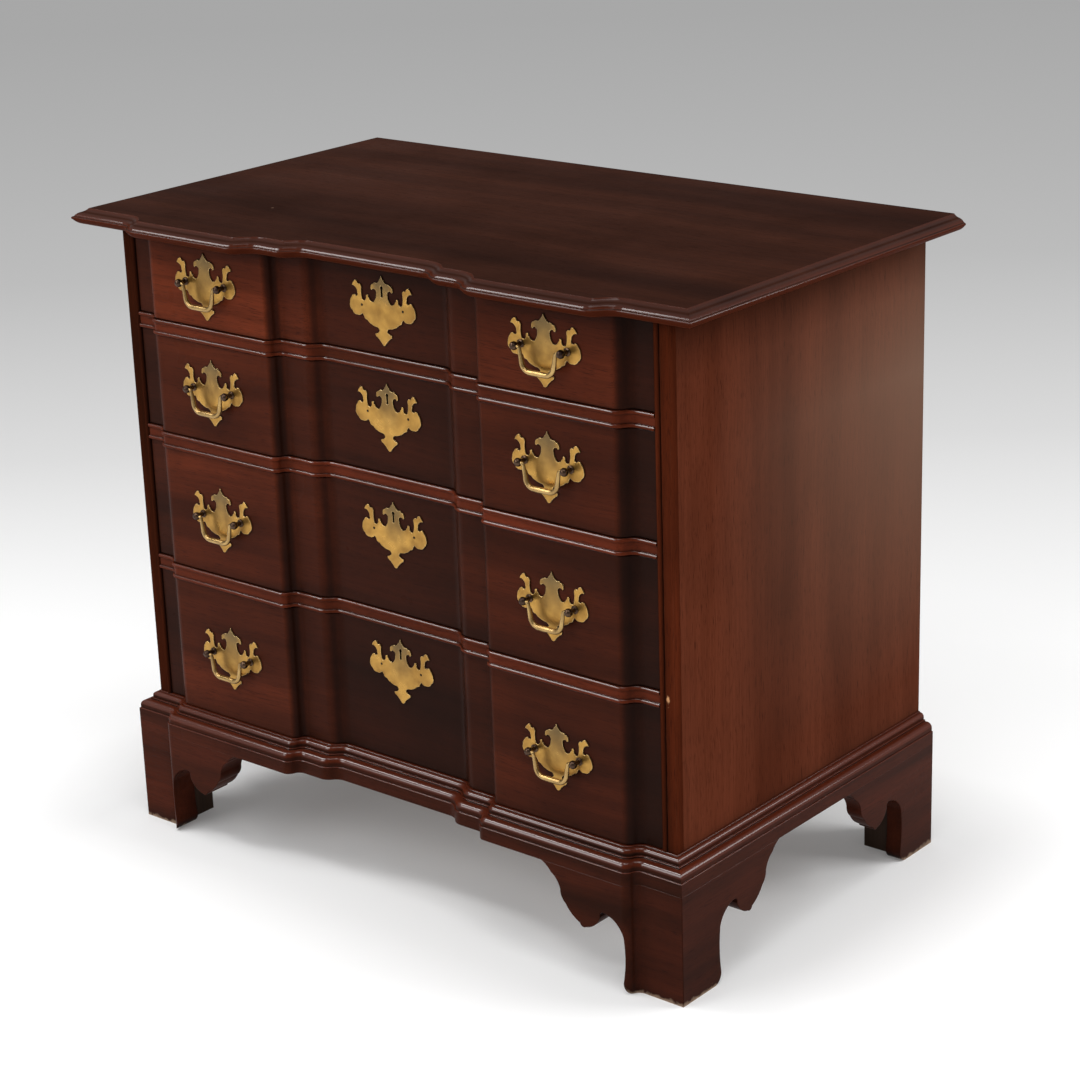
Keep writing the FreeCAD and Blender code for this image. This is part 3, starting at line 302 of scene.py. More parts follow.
def make_mahogany_group():
    tree, given, result = new_group(
        "mahogany_surface",
        [("Vector", "Vector", None), ("Along Grain", "Vector", None), ("Stripes", "Float", 22.0),
         ("Dark", "Color", None), ("Light", "Color", None), ("Radius", "Float", 1.3 * MM),
         ("Wear", "Float", 0.12), ("Reach", "Float", 22 * MM), ("Stain", "Float", 0.3)],
        [("Wood", "Color"), ("Roughness", "Float"), ("Height", "Float"), ("Normal", "Vector"),
         ("Upper", "Float")])
    figure = use_group(tree, grain_group, {"Vector": given["Along Grain"], "Stripes": given["Stripes"]})
    arris = use_group(tree, arris_group, {"Radius": given["Radius"], "Vector": given["Vector"],
                                          "Wear": given["Wear"]})
    hollow = use_group(tree, hollow_shade_group, {"Reach": given["Reach"], "Strength": 0.95})
    smears = noise(tree, given["Vector"], 7.0, detail=4.0)
    streaky = spread(tree, figure["Streaks"], 0.0, 1.0, 0.35, 0.0)
    porous = maths(tree, "MULTIPLY", figure["Pores"], 0.55)
    stained = spread(tree, smears, 0.45, 0.7, 0.0, given["Stain"])
    wood = blend_colour(tree, figure["Tone"], given["Dark"], given["Light"])
    wood = blend_colour(tree, streaky, wood, given["Dark"])
    wood = blend_colour(tree, porous, wood, PORE_BROWN)
    # Painted shade in the hollows that Ambient Occlusion finds, with old glaze lying there too.
    wood = blend_colour(tree, hollow["Dark"], wood, GLAZE_AND_SHADE_BROWN)
    wood = blend_colour(tree, arris["Worn"], wood, WORN_MAHOGANY)
    fill(tree, result, {
        "Wood": blend_colour(tree, stained, wood, GLAZE_AND_SHADE_BROWN),
        "Roughness": maths(tree, "ADD", spread(tree, smears, 0.3, 0.7, 0.26, 0.38),
                           maths(tree, "MULTIPLY", figure["Pores"], 0.12)),
        "Height": maths(tree, "SUBTRACT", maths(tree, "MULTIPLY", figure["Streaks"], 0.25),
                        figure["Pores"]),
        "Normal": arris["Normal"],
        "Upper": arris["Upper"],
    })
    return tree


mahogany_group = make_mahogany_group()
print("group:", mahogany_group.name)

# %% A board of mahogany
def mahogany(name, grain, shift, dark, light, stripes=22.0, polish=0.2, shine=0.03, wear=0.12,
             reach=22 * MM, stain=0.3, round_edge=1.3 * MM, marks=None):
    """The material of one board; marks is a group that adds what age has done to that board, and any light
    painted on it.
    """
    material, tree, shader = new_material("mahogany_" + name)
    coordinates, along_grain = board_vector(tree, grain, shift)
    surface = use_group(tree, mahogany_group, {
        "Vector": coordinates, "Along Grain": along_grain, "Stripes": stripes, "Dark": dark,
        "Light": light, "Radius": round_edge, "Wear": wear, "Reach": reach, "Stain": stain})
    wood = surface["Wood"]
    if marks:
        wood = use_group(tree, marks, {"Vector": coordinates, "Wood": wood})["Wood"]
    bump = add(tree, "Bump", {"Strength": 0.15, "Distance": 0.05 * MM, "Height": surface["Height"],
                              "Normal": surface["Normal"]})
    fill(tree, shader, {
        "Base Color": wood,
        "Roughness": surface["Roughness"],
        "Normal": bump.outputs[0],
        "Specular IOR Level": shine,
        "Coat Weight": maths(tree, "MULTIPLY", surface["Upper"], polish),
        "Coat Roughness": 0.12,
        "Coat IOR": 1.9,
        "Coat Normal": surface["Normal"],
    })
    return material


def finish(name, material):
    """Gives a frame node a better material; its mesh stays as it is."""
    nodes[name].data.materials.clear()
    nodes[name].data.materials.append(material)


print("worn mahogany is", [round(v, 3) for v in WORN_MAHOGANY[:3]])

# %% [markdown]
# ## What age has done to single boards, and the light painted on some
#
# Some boards show more than the common wear, and some carry painted light.  A sheen is painted
# on the upper back of the sides, with a painted shadow under the overhanging top; painted shade
# darkens the sunk parts, turned ends and right-hand side of the drawer fronts; painted light
# makes the nose of the top and the upward-facing members of the base redder; the feet are
# scuffed and one stile is chipped.  Each of these is a group that takes the wood's colour at a
# point and gives back the colour with its mark, so the boards of one kind share it.

# %% The colours of the boards, and where the marks lie
# The two shades of the fronts stay chart values, because each plank has its own lightness.
FRONT_DARK, FRONT_LIGHT = (57, 23, 11), (106, 46, 25)
PLANK_LIGHTNESS = {1: 1.1, 2: 0.97, 3: 1.0, 4: 0.91}
SIDE_DARK, SIDE_LIGHT = colour(72, 33, 20), colour(111, 57, 38)
TOP_DARK, TOP_LIGHT = colour(39, 17, 9), colour(62, 31, 19)
RAIL_DARK, RAIL_LIGHT = colour(71, 29, 13), colour(112, 47, 27)
BASE_DARK, BASE_LIGHT = colour(40, 17, 8), colour(77, 33, 19)
# The colour of the painted sheen on the sides.
PAINTED_SHEEN_WOOD = colour(132, 106, 90)
SCUFFED_WOOD = colour(168, 142, 120)
RAW_WOOD = colour(205, 150, 105)
SPECK = colour(150, 120, 100)

SUNK_DEPTH = 27 * MM
STRIP_STARTS, STRIP_IS_DARK = 34 * MM, 26 * MM
# The darkest painted shade on a drawer front.
DARKEST_FRONT_SHADE = 0.82
CHIP_RADIUS = 3.4 * MM

block_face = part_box("drawer_front_1")[0].y
front_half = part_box("drawer_front_1")[1].x
stile_low, stile_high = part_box("stile_right")
chip = (stile_high.x - 9 * MM, stile_low.y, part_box("blade_3")[1].z - 8 * MM)
print("chip at", [round(v, 3) for v in chip])

# %% Marks and painted light on the top, the sides and the mouldings
def mark_group(mark):
    """A group that lays a mark over the wood it is given; mark is the function that builds it."""
    tree, given, result = new_group(
        mark.__name__, [("Vector", "Vector", None), ("Wood", "Color", None)], [("Wood", "Color")])
    fill(tree, result, {"Wood": mark(tree, given["Vector"], given["Wood"])})
    return tree


def nose_light_and_specks(tree, coordinates, wood):
    """Painted light makes the nose of the top redder and lighter than its flat; pale specks show where polish
    has not reached.
    """
    # Painted light on the faces of the nose, which look forwards rather than up.
    nose_light = spread(tree, facing(tree, "Z"), 0.97, 0.6, 0.0, 0.8)
    wood = blend_colour(tree, nose_light, wood, BASE_LIGHT)
    cells = add(tree, "TexVoronoi", {"Vector": coordinates, "Scale": 9.0}).outputs["Distance"]
    return blend_colour(tree, spread(tree, cells, 0.022, 0.010, 0.0, 0.5), wood, SPECK)


def side_sheen_and_shadow(tree, coordinates, wood):
    """A painted sheen lightens the upper back of a side panel; under the overhanging top a painted shadow
    darkens it.
    """
    place = parts(tree, coordinates)
    backwards = spread(tree, place["Y"], -150 * MM, 250 * MM, 0.0, 0.6)
    upwards = spread(tree, place["Z"], 220 * MM, 600 * MM, 0.05, 1.0)
    shaded = spread(tree, place["Z"], 740 * MM, 600 * MM, 0.3, 1.0)
    share = maths(tree, "MULTIPLY", maths(tree, "MULTIPLY", backwards, upwards), shaded)
    # Painted sheen towards the upper back of the side.
    wood = blend_colour(tree, share, wood, PAINTED_SHEEN_WOOD)
    # Painted shadow under the overhanging top.
    under_top = spread(tree, place["Z"], 695 * MM, 755 * MM, 0.0, 0.55)
    return blend_colour(tree, under_top, wood, GLAZE_AND_SHADE_BROWN)


def lit_moulding(tree, coordinates, wood):
    """Painted light: the members of the base that face upwards are made redder than the flat band under them.
    """
    # Painted light on the faces that look upwards.
    rubbed_and_lit = spread(tree, facing(tree, "Z"), 0.0, 0.4, 0.0, 0.35)
    return blend_colour(tree, rubbed_and_lit, wood, RAIL_LIGHT)


nose_lit_top, sheen_and_shadow_side, lit_base = [mark_group(mark) for mark in (nose_light_and_specks, side_sheen_and_shadow, lit_moulding)]
print("groups:", nose_lit_top.name, sheen_and_shadow_side.name, lit_base.name)

# %% Painted shade on the drawer fronts, and marks on the feet and a stile
def sunk_front_shade(tree, coordinates, wood):
    """Painted shade in the sunk middle and end strips, on the blocks' turned ends and towards the right."""
    place = parts(tree, coordinates)
    sideways = maths(tree, "ABSOLUTE", facing(tree, "X"))
    outwards = maths(tree, "ABSOLUTE", place["X"])
    sunk = spread(tree, place["Y"], block_face, block_face + SUNK_DEPTH, 0.0, 0.55)
    turned = maths(tree, "MULTIPLY", spread(tree, sideways, 0.15, 0.7, 0.0, 0.6),
                   spread(tree, sideways, 0.999, 0.99))
    strips = spread(tree, outwards, front_half - STRIP_STARTS, front_half - STRIP_IS_DARK, 0.0, 0.6)
    shaded = spread(tree, place["X"], -300 * MM, 350 * MM, 0.0, 0.35)
    share = maths(tree, "MAXIMUM", maths(tree, "MAXIMUM", sunk, turned), strips)
    share = maths(tree, "MINIMUM", maths(tree, "ADD", share, shaded), DARKEST_FRONT_SHADE)
    return blend_colour(tree, share, wood, GLAZE_AND_SHADE_BROWN)


def scuffed_foot(tree, coordinates, wood):
    """Bare, pale wood along the bottom of a foot, where it is dragged over floors."""
    ragged = noise(tree, coordinates, 90.0, detail=3.0)
    limit = spread(tree, ragged, 0.3, 0.7, 0.5 * MM, 9 * MM)
    bare = spread(tree, parts(tree, coordinates)["Z"], limit, 0.0, 0.0, 0.85)
    return blend_colour(tree, bare, wood, SCUFFED_WOOD)


def chipped_stile(tree, coordinates, wood):
    """A small upright chip down to raw wood."""
    squeeze = Vector((1.0, 1.0, 0.3))
    flat = vector_maths(tree, "MULTIPLY", coordinates, squeeze)
    away = vector_maths(tree, "DISTANCE", flat, squeeze * Vector(chip))
    ragged = spread(tree, noise(tree, coordinates, 260.0), 0.0, 1.0, -1.2 * MM, 1.2 * MM)
    inside = spread(tree, maths(tree, "ADD", away, ragged), CHIP_RADIUS, 0.7 * CHIP_RADIUS)
    return blend_colour(tree, inside, wood, RAW_WOOD)


shaded_front, scuffed_feet, chipped = [mark_group(mark) for mark in (sunk_front_shade, scuffed_foot, chipped_stile)]
print("groups:", shaded_front.name, scuffed_feet.name, chipped.name)

# %% [markdown]
# ## The boards of the case
#
# The grain of the sides and the stiles runs up and down, that of everything across the front
# runs left to right, and the side mouldings and side brackets run from front to back.

# %% Finish the case
finish("top_board", mahogany("top", "x", 0.4, TOP_DARK, TOP_LIGHT, stripes=14.0, polish=0.3,
                             shine=0.002, marks=nose_lit_top))
for side, shift in (("left", 1.9), ("right", 3.1)):
    name = "side_" + side
    finish(name, mahogany(name, "z", shift, SIDE_DARK, SIDE_LIGHT, stripes=9.0, shine=0.0,
                          stain=0.2, marks=sheen_and_shadow_side))
finish("stile_left", mahogany("stile_left", "z", 4.3, BASE_DARK, BASE_LIGHT, shine=0.0))
finish("stile_right", mahogany("stile_right", "z", 5.2, colour(*FRONT_DARK), colour(*FRONT_LIGHT),
                               shine=0.0, marks=chipped))
for index in (1, 2, 3):
    name = "blade_%d" % index
    finish(name, mahogany(name, "x", 6.0 + index, RAIL_DARK, RAIL_LIGHT, stripes=30.0, polish=0.8,
                          wear=0.0, round_edge=0.3 * MM))
for drawer in DRAWERS:
    dark, light = [colour(*shade, PLANK_LIGHTNESS[drawer]) for shade in (FRONT_DARK, FRONT_LIGHT)]
    finish("drawer_front_%d" % drawer,
           mahogany("drawer_%d" % drawer, "x", 10.0 + 1.7 * drawer, dark, light, stripes=16.0,
                    wear=0.05, reach=45 * MM, marks=shaded_front))
finish("base_mould_front", mahogany("base_front", "x", 20.1, BASE_DARK, BASE_LIGHT, stripes=26.0,
                                    polish=0.6, round_edge=0.4 * MM, marks=lit_base))
foot_wood = mahogany("feet_front", "x", 21.7, BASE_DARK, BASE_LIGHT, wear=0.04, marks=scuffed_feet)
for side in SIDES:
    finish("base_mould_" + side,
           mahogany("base_" + side, "y", 22.9, BASE_DARK, BASE_LIGHT, stripes=26.0, polish=0.3,
                    round_edge=0.4 * MM, marks=lit_base))
    finish("foot_front_" + side, foot_wood)
finish("foot_sides", mahogany("feet_side", "y", 24.2, BASE_DARK, BASE_LIGHT, wear=0.04,
                              marks=scuffed_feet))
print("mahogany finishes:", len([m for m in bpy.data.materials if m.name.startswith("mahogany")]))

# %% [markdown]
# ## The wood nobody polishes
#
# The drawer sides, the bottoms and the back are a plain pale wood, left bare.  It is dry and
# rough, a little darker in its hollows and paler on its worn edges, and it keeps the marks of the plane.
# Again a group holds what these boards share, and a function makes the single board's material.

# %% The bare wood group
# Darker in the hollows that Ambient Occlusion finds.
BARE_HOLLOW_BROWN = colour(58, 40, 26)
WORN_PALE = colour(196, 160, 120)


def make_bare_group():
    tree, given, result = new_group(
        "bare_surface",
        [("Vector", "Vector", None), ("Along Grain", "Vector", None), ("Dark", "Color", None),
         ("Light", "Color", None)],
        [("Wood", "Color"), ("Roughness", "Float"), ("Height", "Float"), ("Normal", "Vector")])
    figure = use_group(tree, grain_group, {"Vector": given["Along Grain"], "Stripes": 34.0})
    hollow = use_group(tree, hollow_shade_group, {"Reach": 14 * MM, "Strength": 0.6})
    arris = use_group(tree, arris_group, {"Radius": 0.8 * MM, "Vector": given["Vector"], "Wear": 0.35})
    streaky = spread(tree, figure["Streaks"], 0.0, 1.0, 0.4, 0.0)
    wood = blend_colour(tree, figure["Tone"], given["Dark"], given["Light"])
    wood = blend_colour(tree, streaky, wood, given["Dark"])
    wood = blend_colour(tree, hollow["Dark"], wood, BARE_HOLLOW_BROWN)
    plane_marks = add(tree, "TexWave", {"Vector": given["Along Grain"], "Scale": 26.0, "Distortion": 1.5},
                      bands_direction="X").outputs["Fac"]
    fill(tree, result, {
        "Wood": blend_colour(tree, arris["Worn"], wood, WORN_PALE),
        "Roughness": spread(tree, figure["Streaks"], 0.0, 1.0, 0.82, 0.66),
        "Height": maths(tree, "ADD", maths(tree, "MULTIPLY", plane_marks, 0.4), figure["Streaks"]),
        "Normal": arris["Normal"],
    })
    return tree


bare_group = make_bare_group()
print("group:", bare_group.name)

# %% Secondary wood
def bare_wood(name, grain, shift, dark, light):
    """The material of a board that is left as the plane leaves it."""
    material, tree, shader = new_material("bare_" + name)
    coordinates, along_grain = board_vector(tree, grain, shift)
    surface = use_group(tree, bare_group, {"Vector": coordinates, "Along Grain": along_grain,
                                           "Dark": dark, "Light": light})
    bump = add(tree, "Bump", {"Strength": 0.5, "Distance": 0.1 * MM, "Height": surface["Height"],
                              "Normal": surface["Normal"]})
    fill(tree, shader, {
        "Base Color": surface["Wood"],
        "Roughness": surface["Roughness"],
        "Normal": bump.outputs[0],
        "Specular IOR Level": 0.25,
    })
    return material


PALE_DARK, PALE_LIGHT = colour(122, 88, 56), colour(172, 132, 90)
OLD_DARK, OLD_LIGHT = colour(84, 58, 38), colour(126, 92, 62)
GRIMY_DARK, GRIMY_LIGHT = colour(40, 27, 19), colour(72, 50, 34)
case_wood = bare_wood("case", "x", 1.3, OLD_DARK, OLD_LIGHT)
for name in ("case_bottom", "top_rails", "back_boards"):
    finish(name, case_wood)
finish("foot_backs", bare_wood("brackets", "x", 5.4, GRIMY_DARK, GRIMY_LIGHT))
finish("drawer_runners", bare_wood("runners", "y", 2.6, OLD_DARK, OLD_LIGHT))
finish("glue_blocks", bare_wood("blocks", "z", 3.9, GRIMY_DARK, GRIMY_LIGHT))
for drawer in DRAWERS:
    finish("drawer_sides_%d" % drawer,
           bare_wood("sides_%d" % drawer, "y", 4.0 + drawer, PALE_DARK, PALE_LIGHT))
    across_wood = bare_wood("back_%d" % drawer, "x", 9.0 + drawer, PALE_DARK, PALE_LIGHT)
    finish("drawer_back_%d" % drawer, across_wood)
    finish("drawer_bottom_%d" % drawer, across_wood)
print("bare finishes:", len([m for m in bpy.data.materials if m.name.startswith("bare")]))

# %% [markdown]
# ## Brass and iron
#
# The brasses are cast, filed and long since dulled.  Their faces carry a brown bloom that is
# thin where cloths rub and thick round the posts.  Their filed edges are painted bright, as worn
# brass and as a painted glint.  One group serves plates, bails, posts and pins, with the bails
# rubbed smoother by hands.

# %% The brass group
HOLLOW_BRASS = colour(54, 36, 20)
# The dark reflection painted on the tower of each plate.
TOWER_REFLECTION = colour(78, 70, 54)


def make_brass_group():
    tree, given, result = new_group(
        "brass_surface",
        [("Vector", "Vector", None), ("Clean", "Color", None), ("Bloom", "Color", None),
         ("Edge", "Color", None), ("Bloomed", "Float", 0.8), ("Painted Reflection", "Float", 0.0),
         ("Gloss", "Float", 0.2), ("Radius", "Float", 0.4 * MM)],
        [("Metal", "Color"), ("Roughness", "Float"), ("Grit", "Float"), ("Normal", "Vector")])
    arris = use_group(tree, arris_group, {"Radius": given["Radius"], "Vector": given["Vector"],
                                          "Wear": 0.8})
    hollow = use_group(tree, hollow_shade_group, {"Reach": 6 * MM, "Strength": 0.8})
    clouds = noise(tree, given["Vector"], 60.0, detail=4.0)
    cover = maths(tree, "MULTIPLY", spread(tree, clouds, 0.35, 0.7), given["Bloomed"])
    metal = blend_colour(tree, cover, given["Clean"], given["Bloom"])
    # Painted reflection: the tower of a plate is darkened.
    metal = blend_colour(tree, given["Painted Reflection"], metal, TOWER_REFLECTION)
    metal = blend_colour(tree, hollow["Dark"], metal, HOLLOW_BRASS)
    # The bright edge colour is worn brass together with a painted glint.
    fill(tree, result, {
        "Metal": blend_colour(tree, arris["Edge"], metal, given["Edge"]),
        "Roughness": maths(tree, "ADD", maths(tree, "MULTIPLY", cover, 0.2), given["Gloss"]),
        "Grit": noise(tree, given["Vector"], 700.0),
        "Normal": arris["Normal"],
    })
    return tree


brass_group = make_brass_group()
print("group:", brass_group.name)

# %% Aged brass
def aged_brass(name, clean, bloom, edge, gloss, bloomed, round_edge=0.4 * MM, painted_reflection=None):
    """Clean brass under a bloom; the last argument is a function that says where a dark reflection is painted
    on it.
    """
    material, tree, shader = new_material("brass_" + name)
    surface = use_group(tree, brass_group, {
        "Vector": add(tree, "TexCoord").outputs["Object"], "Clean": clean, "Bloom": bloom,
        "Edge": edge, "Bloomed": bloomed, "Gloss": gloss, "Radius": round_edge,
        "Painted Reflection": painted_reflection(tree) if painted_reflection else 0.0})
    bump = add(tree, "Bump", {"Strength": 0.25, "Distance": 0.05 * MM, "Height": surface["Grit"],
                              "Normal": surface["Normal"]})
    fill(tree, shader, {
        "Base Color": surface["Metal"],
        "Roughness": surface["Roughness"],
        "Normal": bump.outputs[0],
        "Metallic": 0.9,
    })
    return material


def tower_reflection(tree):
    """Painted reflection: how dark the middle tower of a plate is painted, most at its top, less towards the
    scrolls.
    """
    rise = add(tree, "Attribute", attribute_name="rise").outputs["Fac"]
    beside = maths(tree, "ABSOLUTE", add(tree, "Attribute", attribute_name="across").outputs["Fac"])
    return maths(tree, "MULTIPLY", spread(tree, rise, -18 * MM, 28 * MM, 0.0, 0.75),
                 spread(tree, beside, 21 * MM, 9 * MM))


plate_brass = aged_brass("plate", colour(180, 138, 68), colour(136, 99, 46), colour(226, 192, 134),
                         gloss=0.27, bloomed=0.8, round_edge=1.0 * MM, painted_reflection=tower_reflection)
bail_brass = aged_brass("bail", colour(180, 148, 94), colour(112, 86, 54), colour(190, 160, 112),
                        gloss=0.2, bloomed=0.6)
post_brass = aged_brass("post", colour(86, 66, 50), colour(44, 30, 28), colour(110, 86, 66),
                        gloss=0.2, bloomed=1.0)
pin_brass = aged_brass("pin", colour(60, 46, 30), colour(30, 24, 20), colour(60, 46, 30),
                       gloss=0.4, bloomed=1.0)
print("brasses:", plate_brass.name, bail_brass.name, post_brass.name, pin_brass.name)

# %% Lock iron
IRON_GREY = colour(86, 82, 78)
RUST = colour(74, 50, 36)
RUBBED_IRON = colour(150, 146, 140)


def aged_iron(name):
    """Grey iron with rust in patches, rubbed bright along its edges."""
    material, tree, shader = new_material(name)
    coordinates = add(tree, "TexCoord").outputs["Object"]
    arris = use_group(tree, arris_group, {"Radius": 0.5 * MM, "Vector": coordinates, "Wear": 0.5})
    rust = noise(tree, coordinates, 60.0, detail=5.0)
    metal = blend_colour(tree, spread(tree, rust, 0.4, 0.65), IRON_GREY, RUST)
    metal = blend_colour(tree, arris["Worn"], metal, RUBBED_IRON)
    bump = add(tree, "Bump", {"Strength": 0.4, "Distance": 0.08 * MM, "Height": rust,
                              "Normal": arris["Normal"]})
    fill(tree, shader, {
        "Base Color": metal,
        "Roughness": spread(tree, rust, 0.3, 0.7, 0.4, 0.65),
        "Normal": bump.outputs[0],
        "Metallic": 0.85,
    })
    return material


iron = aged_iron("aged_iron")
for drawer in DRAWERS:
    finish("lock_case_%d" % drawer, iron)
    finish("lock_bolt_%d" % drawer, iron)
    finish("pull_posts_%d" % drawer, post_brass)
print("iron:", iron.name)

# %% [markdown]
# ## Willow plates with filed edges
#
# The frame's plates have the right outline but square edges.  A founder files a bevel round the
# face of each plate, and that bevel is what glints.  The outline is already there, so the blank
# is a copy of the frame's mesh: its loose triangles are merged, the flat faces become single
# faces again, and the edges round each front face are bevelled.
#
# The middle tower of a plate is painted darker than its scrolls: a painted reflection of dark
# surroundings in its face.  Each point keeps its height and its distance from the middle of its
# plate as two attributes, and the brass paints that reflection on the tower with them.

# %% Measure the pulls, and turn a bmesh into a finished piece
BAIL_OVERRUN = 3 * MM

bail_low, bail_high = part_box("bail_1_right")
pull_middle = (bail_low.x + bail_high.x) / 2
boring = (bail_high.x - bail_low.x) / 2 - BAIL_OVERRUN


def piece(name, shape, material, body):
    """A new object that rides on a body of the frame."""
    mesh = bpy.data.meshes.new(name)
    shape.to_mesh(mesh)
    shape.free()
    mesh.materials.append(material)
    made = bpy.data.objects.new(name, mesh)
    bpy.context.scene.collection.objects.link(made)
    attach(made, body)
    return made


print("pulls at %.1f mm, their posts %.1f mm to each side" % (pull_middle / MM, boring / MM))

# %% File the bevels
BEVEL = 0.8 * MM
SAME_POINT = 0.01 * MM
FLAT_ENOUGH = math.radians(1)
ESCUTCHEON_DROP = 48.6 * MM


def escutcheon_height(drawer):
    """The middle of the escutcheon, measured down from the top of the lock behind it."""
    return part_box("lock_case_%d" % drawer)[1].z - ESCUTCHEON_DROP


def filed_plates(drawer):
    """The two pull plates and the escutcheon of a drawer, bevelled round their front faces."""
    blank = bmesh.new()
    blank.from_mesh(nodes["brass_plates_%d" % drawer].data)
    bmesh.ops.remove_doubles(blank, verts=blank.verts, dist=SAME_POINT)
    bmesh.ops.dissolve_limit(blank, angle_limit=FLAT_ENOUGH, verts=blank.verts, edges=blank.edges)
    bmesh.ops.recalc_face_normals(blank, faces=blank.faces)

    def looks_forward(face):
        return face.normal.y < -0.99

    rim = [edge for edge in blank.edges
           if len(edge.link_faces) == 2 and sum(looks_forward(face) for face in edge.link_faces) == 1]
    bmesh.ops.bevel(blank, geom=rim, offset=BEVEL, affect="EDGES", segments=2, profile=0.5, material=-1,
                    clamp_overlap=True)
    posts_low, posts_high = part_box("pull_posts_%d" % drawer)
    escutcheon_middle = (0.0, escutcheon_height(drawer))
    plate_middle = (pull_middle, (posts_low.z + posts_high.z) / 2)
    rise = blank.verts.layers.float.new("rise")
    across = blank.verts.layers.float.new("across")
    for vert in blank.verts:
        on_escutcheon = abs(vert.co.x) < pull_middle / 2
        middle_x, middle_z = escutcheon_middle if on_escutcheon else plate_middle
        vert[rise] = vert.co.z - middle_z
        vert[across] = abs(vert.co.x) - middle_x
    plates = piece("filed_plates_%d" % drawer, blank, plate_brass, "drawer_%d" % drawer)
    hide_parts("brass_plates_%d" % drawer)
    return plates


for drawer in DRAWERS:
    plates = filed_plates(drawer)
    print(plates.name, "faces:", len(plates.data.polygons))

# %% [markdown]
# ## Escutcheon pins
#
# The plates on the blocks are held by their posts.  The one in the middle has no posts, so it is
# pinned through the same two places with small domed nails that have gone nearly black.

# %% Pin the escutcheons
PIN_RADIUS = 1.5 * MM
PIN_RISE = 0.7 * MM
PIN_INSET = 0.8 * MM


def escutcheon_face(drawer):
    """The y of the front of the middle plate: the furthest forward of its points near x = 0."""
    points = [vert.co for vert in nodes["brass_plates_%d" % drawer].data.vertices]
    return min(point.y for point in points if abs(point.x) < pull_middle / 2)


def pins(drawer):
    """Two domed nails that hold the escutcheon of a drawer."""
    height = escutcheon_height(drawer)
    face = escutcheon_face(drawer)
    shape = bmesh.new()
    for across in (PIN_INSET - boring, boring - PIN_INSET):
        dome = bmesh.ops.create_uvsphere(shape, u_segments=20, v_segments=10, radius=PIN_RADIUS)["verts"]
        bmesh.ops.scale(shape, vec=(1.0, PIN_RISE / PIN_RADIUS, 1.0), verts=dome)
        bmesh.ops.translate(shape, vec=(across, face, height), verts=dome)
    return piece("escutcheon_pins_%d" % drawer, shape, pin_brass, "drawer_%d" % drawer)


for drawer in DRAWERS:
    made = pins(drawer)
print(made.name, "faces:", len(made.data.polygons))

# %% [markdown]
# ## Bails
#
# A bail is a cast drop handle: thin where it turns in the posts, fuller in its arms, fullest in
# the middle of the bar that the fingers take.  The frame's bail is an even wire, so this one is
# made again as a ring of edges, extruded from station to station along the same path and given
# a new radius at each.

# %% The path of a bail as stations with a radius each
WIRE = 2.1 * MM
ELBOW = 2.8 * MM
CORNER = 11 * MM
DROP = 26 * MM
LEAN = math.radians(10)
ARM_HALF = boring - 7.4 * MM
TURNING_RADIUS = 2.0 * MM
ARM_RADIUS = 2.7 * MM
BAR_RADIUS = 3.3 * MM
RING_POINTS = 20
BAR_STEPS, CORNER_STEPS, ELBOW_STEPS = 6, 10, 6
ARM_STATIONS = (0.3, 0.6)


def arc_points(middle, radius, first, last, count):
    """Points on an arc in the plane of the bail."""
    angles = [first + (last - first) * step / count for step in range(count + 1)]
    return [(middle[0] + radius * math.cos(angle), middle[1] + radius * math.sin(angle)) for angle in angles]


def bail_half():
    """The right half, from the middle of the bar to the end of the pin, as (x, z)."""
    elbow = arc_points((ARM_HALF + ELBOW, -ELBOW), ELBOW, 2 * QUARTER - LEAN, QUARTER, ELBOW_STEPS)
    top_x, top_z = elbow[0]
    foot_z = CORNER * (1 - math.sin(LEAN)) - DROP
    foot_x = top_x - (top_z - foot_z) * math.tan(LEAN)
    bar_end = foot_x - CORNER * math.cos(LEAN)
    bar = [(bar_end * step / BAR_STEPS, -DROP) for step in range(BAR_STEPS)]
    corner = arc_points((bar_end, CORNER - DROP), CORNER, -QUARTER, -LEAN, CORNER_STEPS)
    arm = [(foot_x + share * (top_x - foot_x), foot_z + share * (top_z - foot_z)) for share in ARM_STATIONS]
    return bar + corner + arm + elbow + [(boring + BAIL_OVERRUN, 0.0)]


def bail_radius(x, z):
    """The bar is fullest in its middle; the arms thin towards the pins."""
    if z > -ELBOW:
        return TURNING_RADIUS
    if z > CORNER - DROP:
        share = (z + ELBOW) / (CORNER - DROP + ELBOW)
        return TURNING_RADIUS + (ARM_RADIUS - TURNING_RADIUS) * min(1.0, max(0.0, share))
    share = 1 - min(1.0, abs(x) / ARM_HALF)
    return ARM_RADIUS + (BAR_RADIUS - ARM_RADIUS) * math.sin(QUARTER * share)


print("stations along a bail:", 2 * len(bail_half()) - 1)

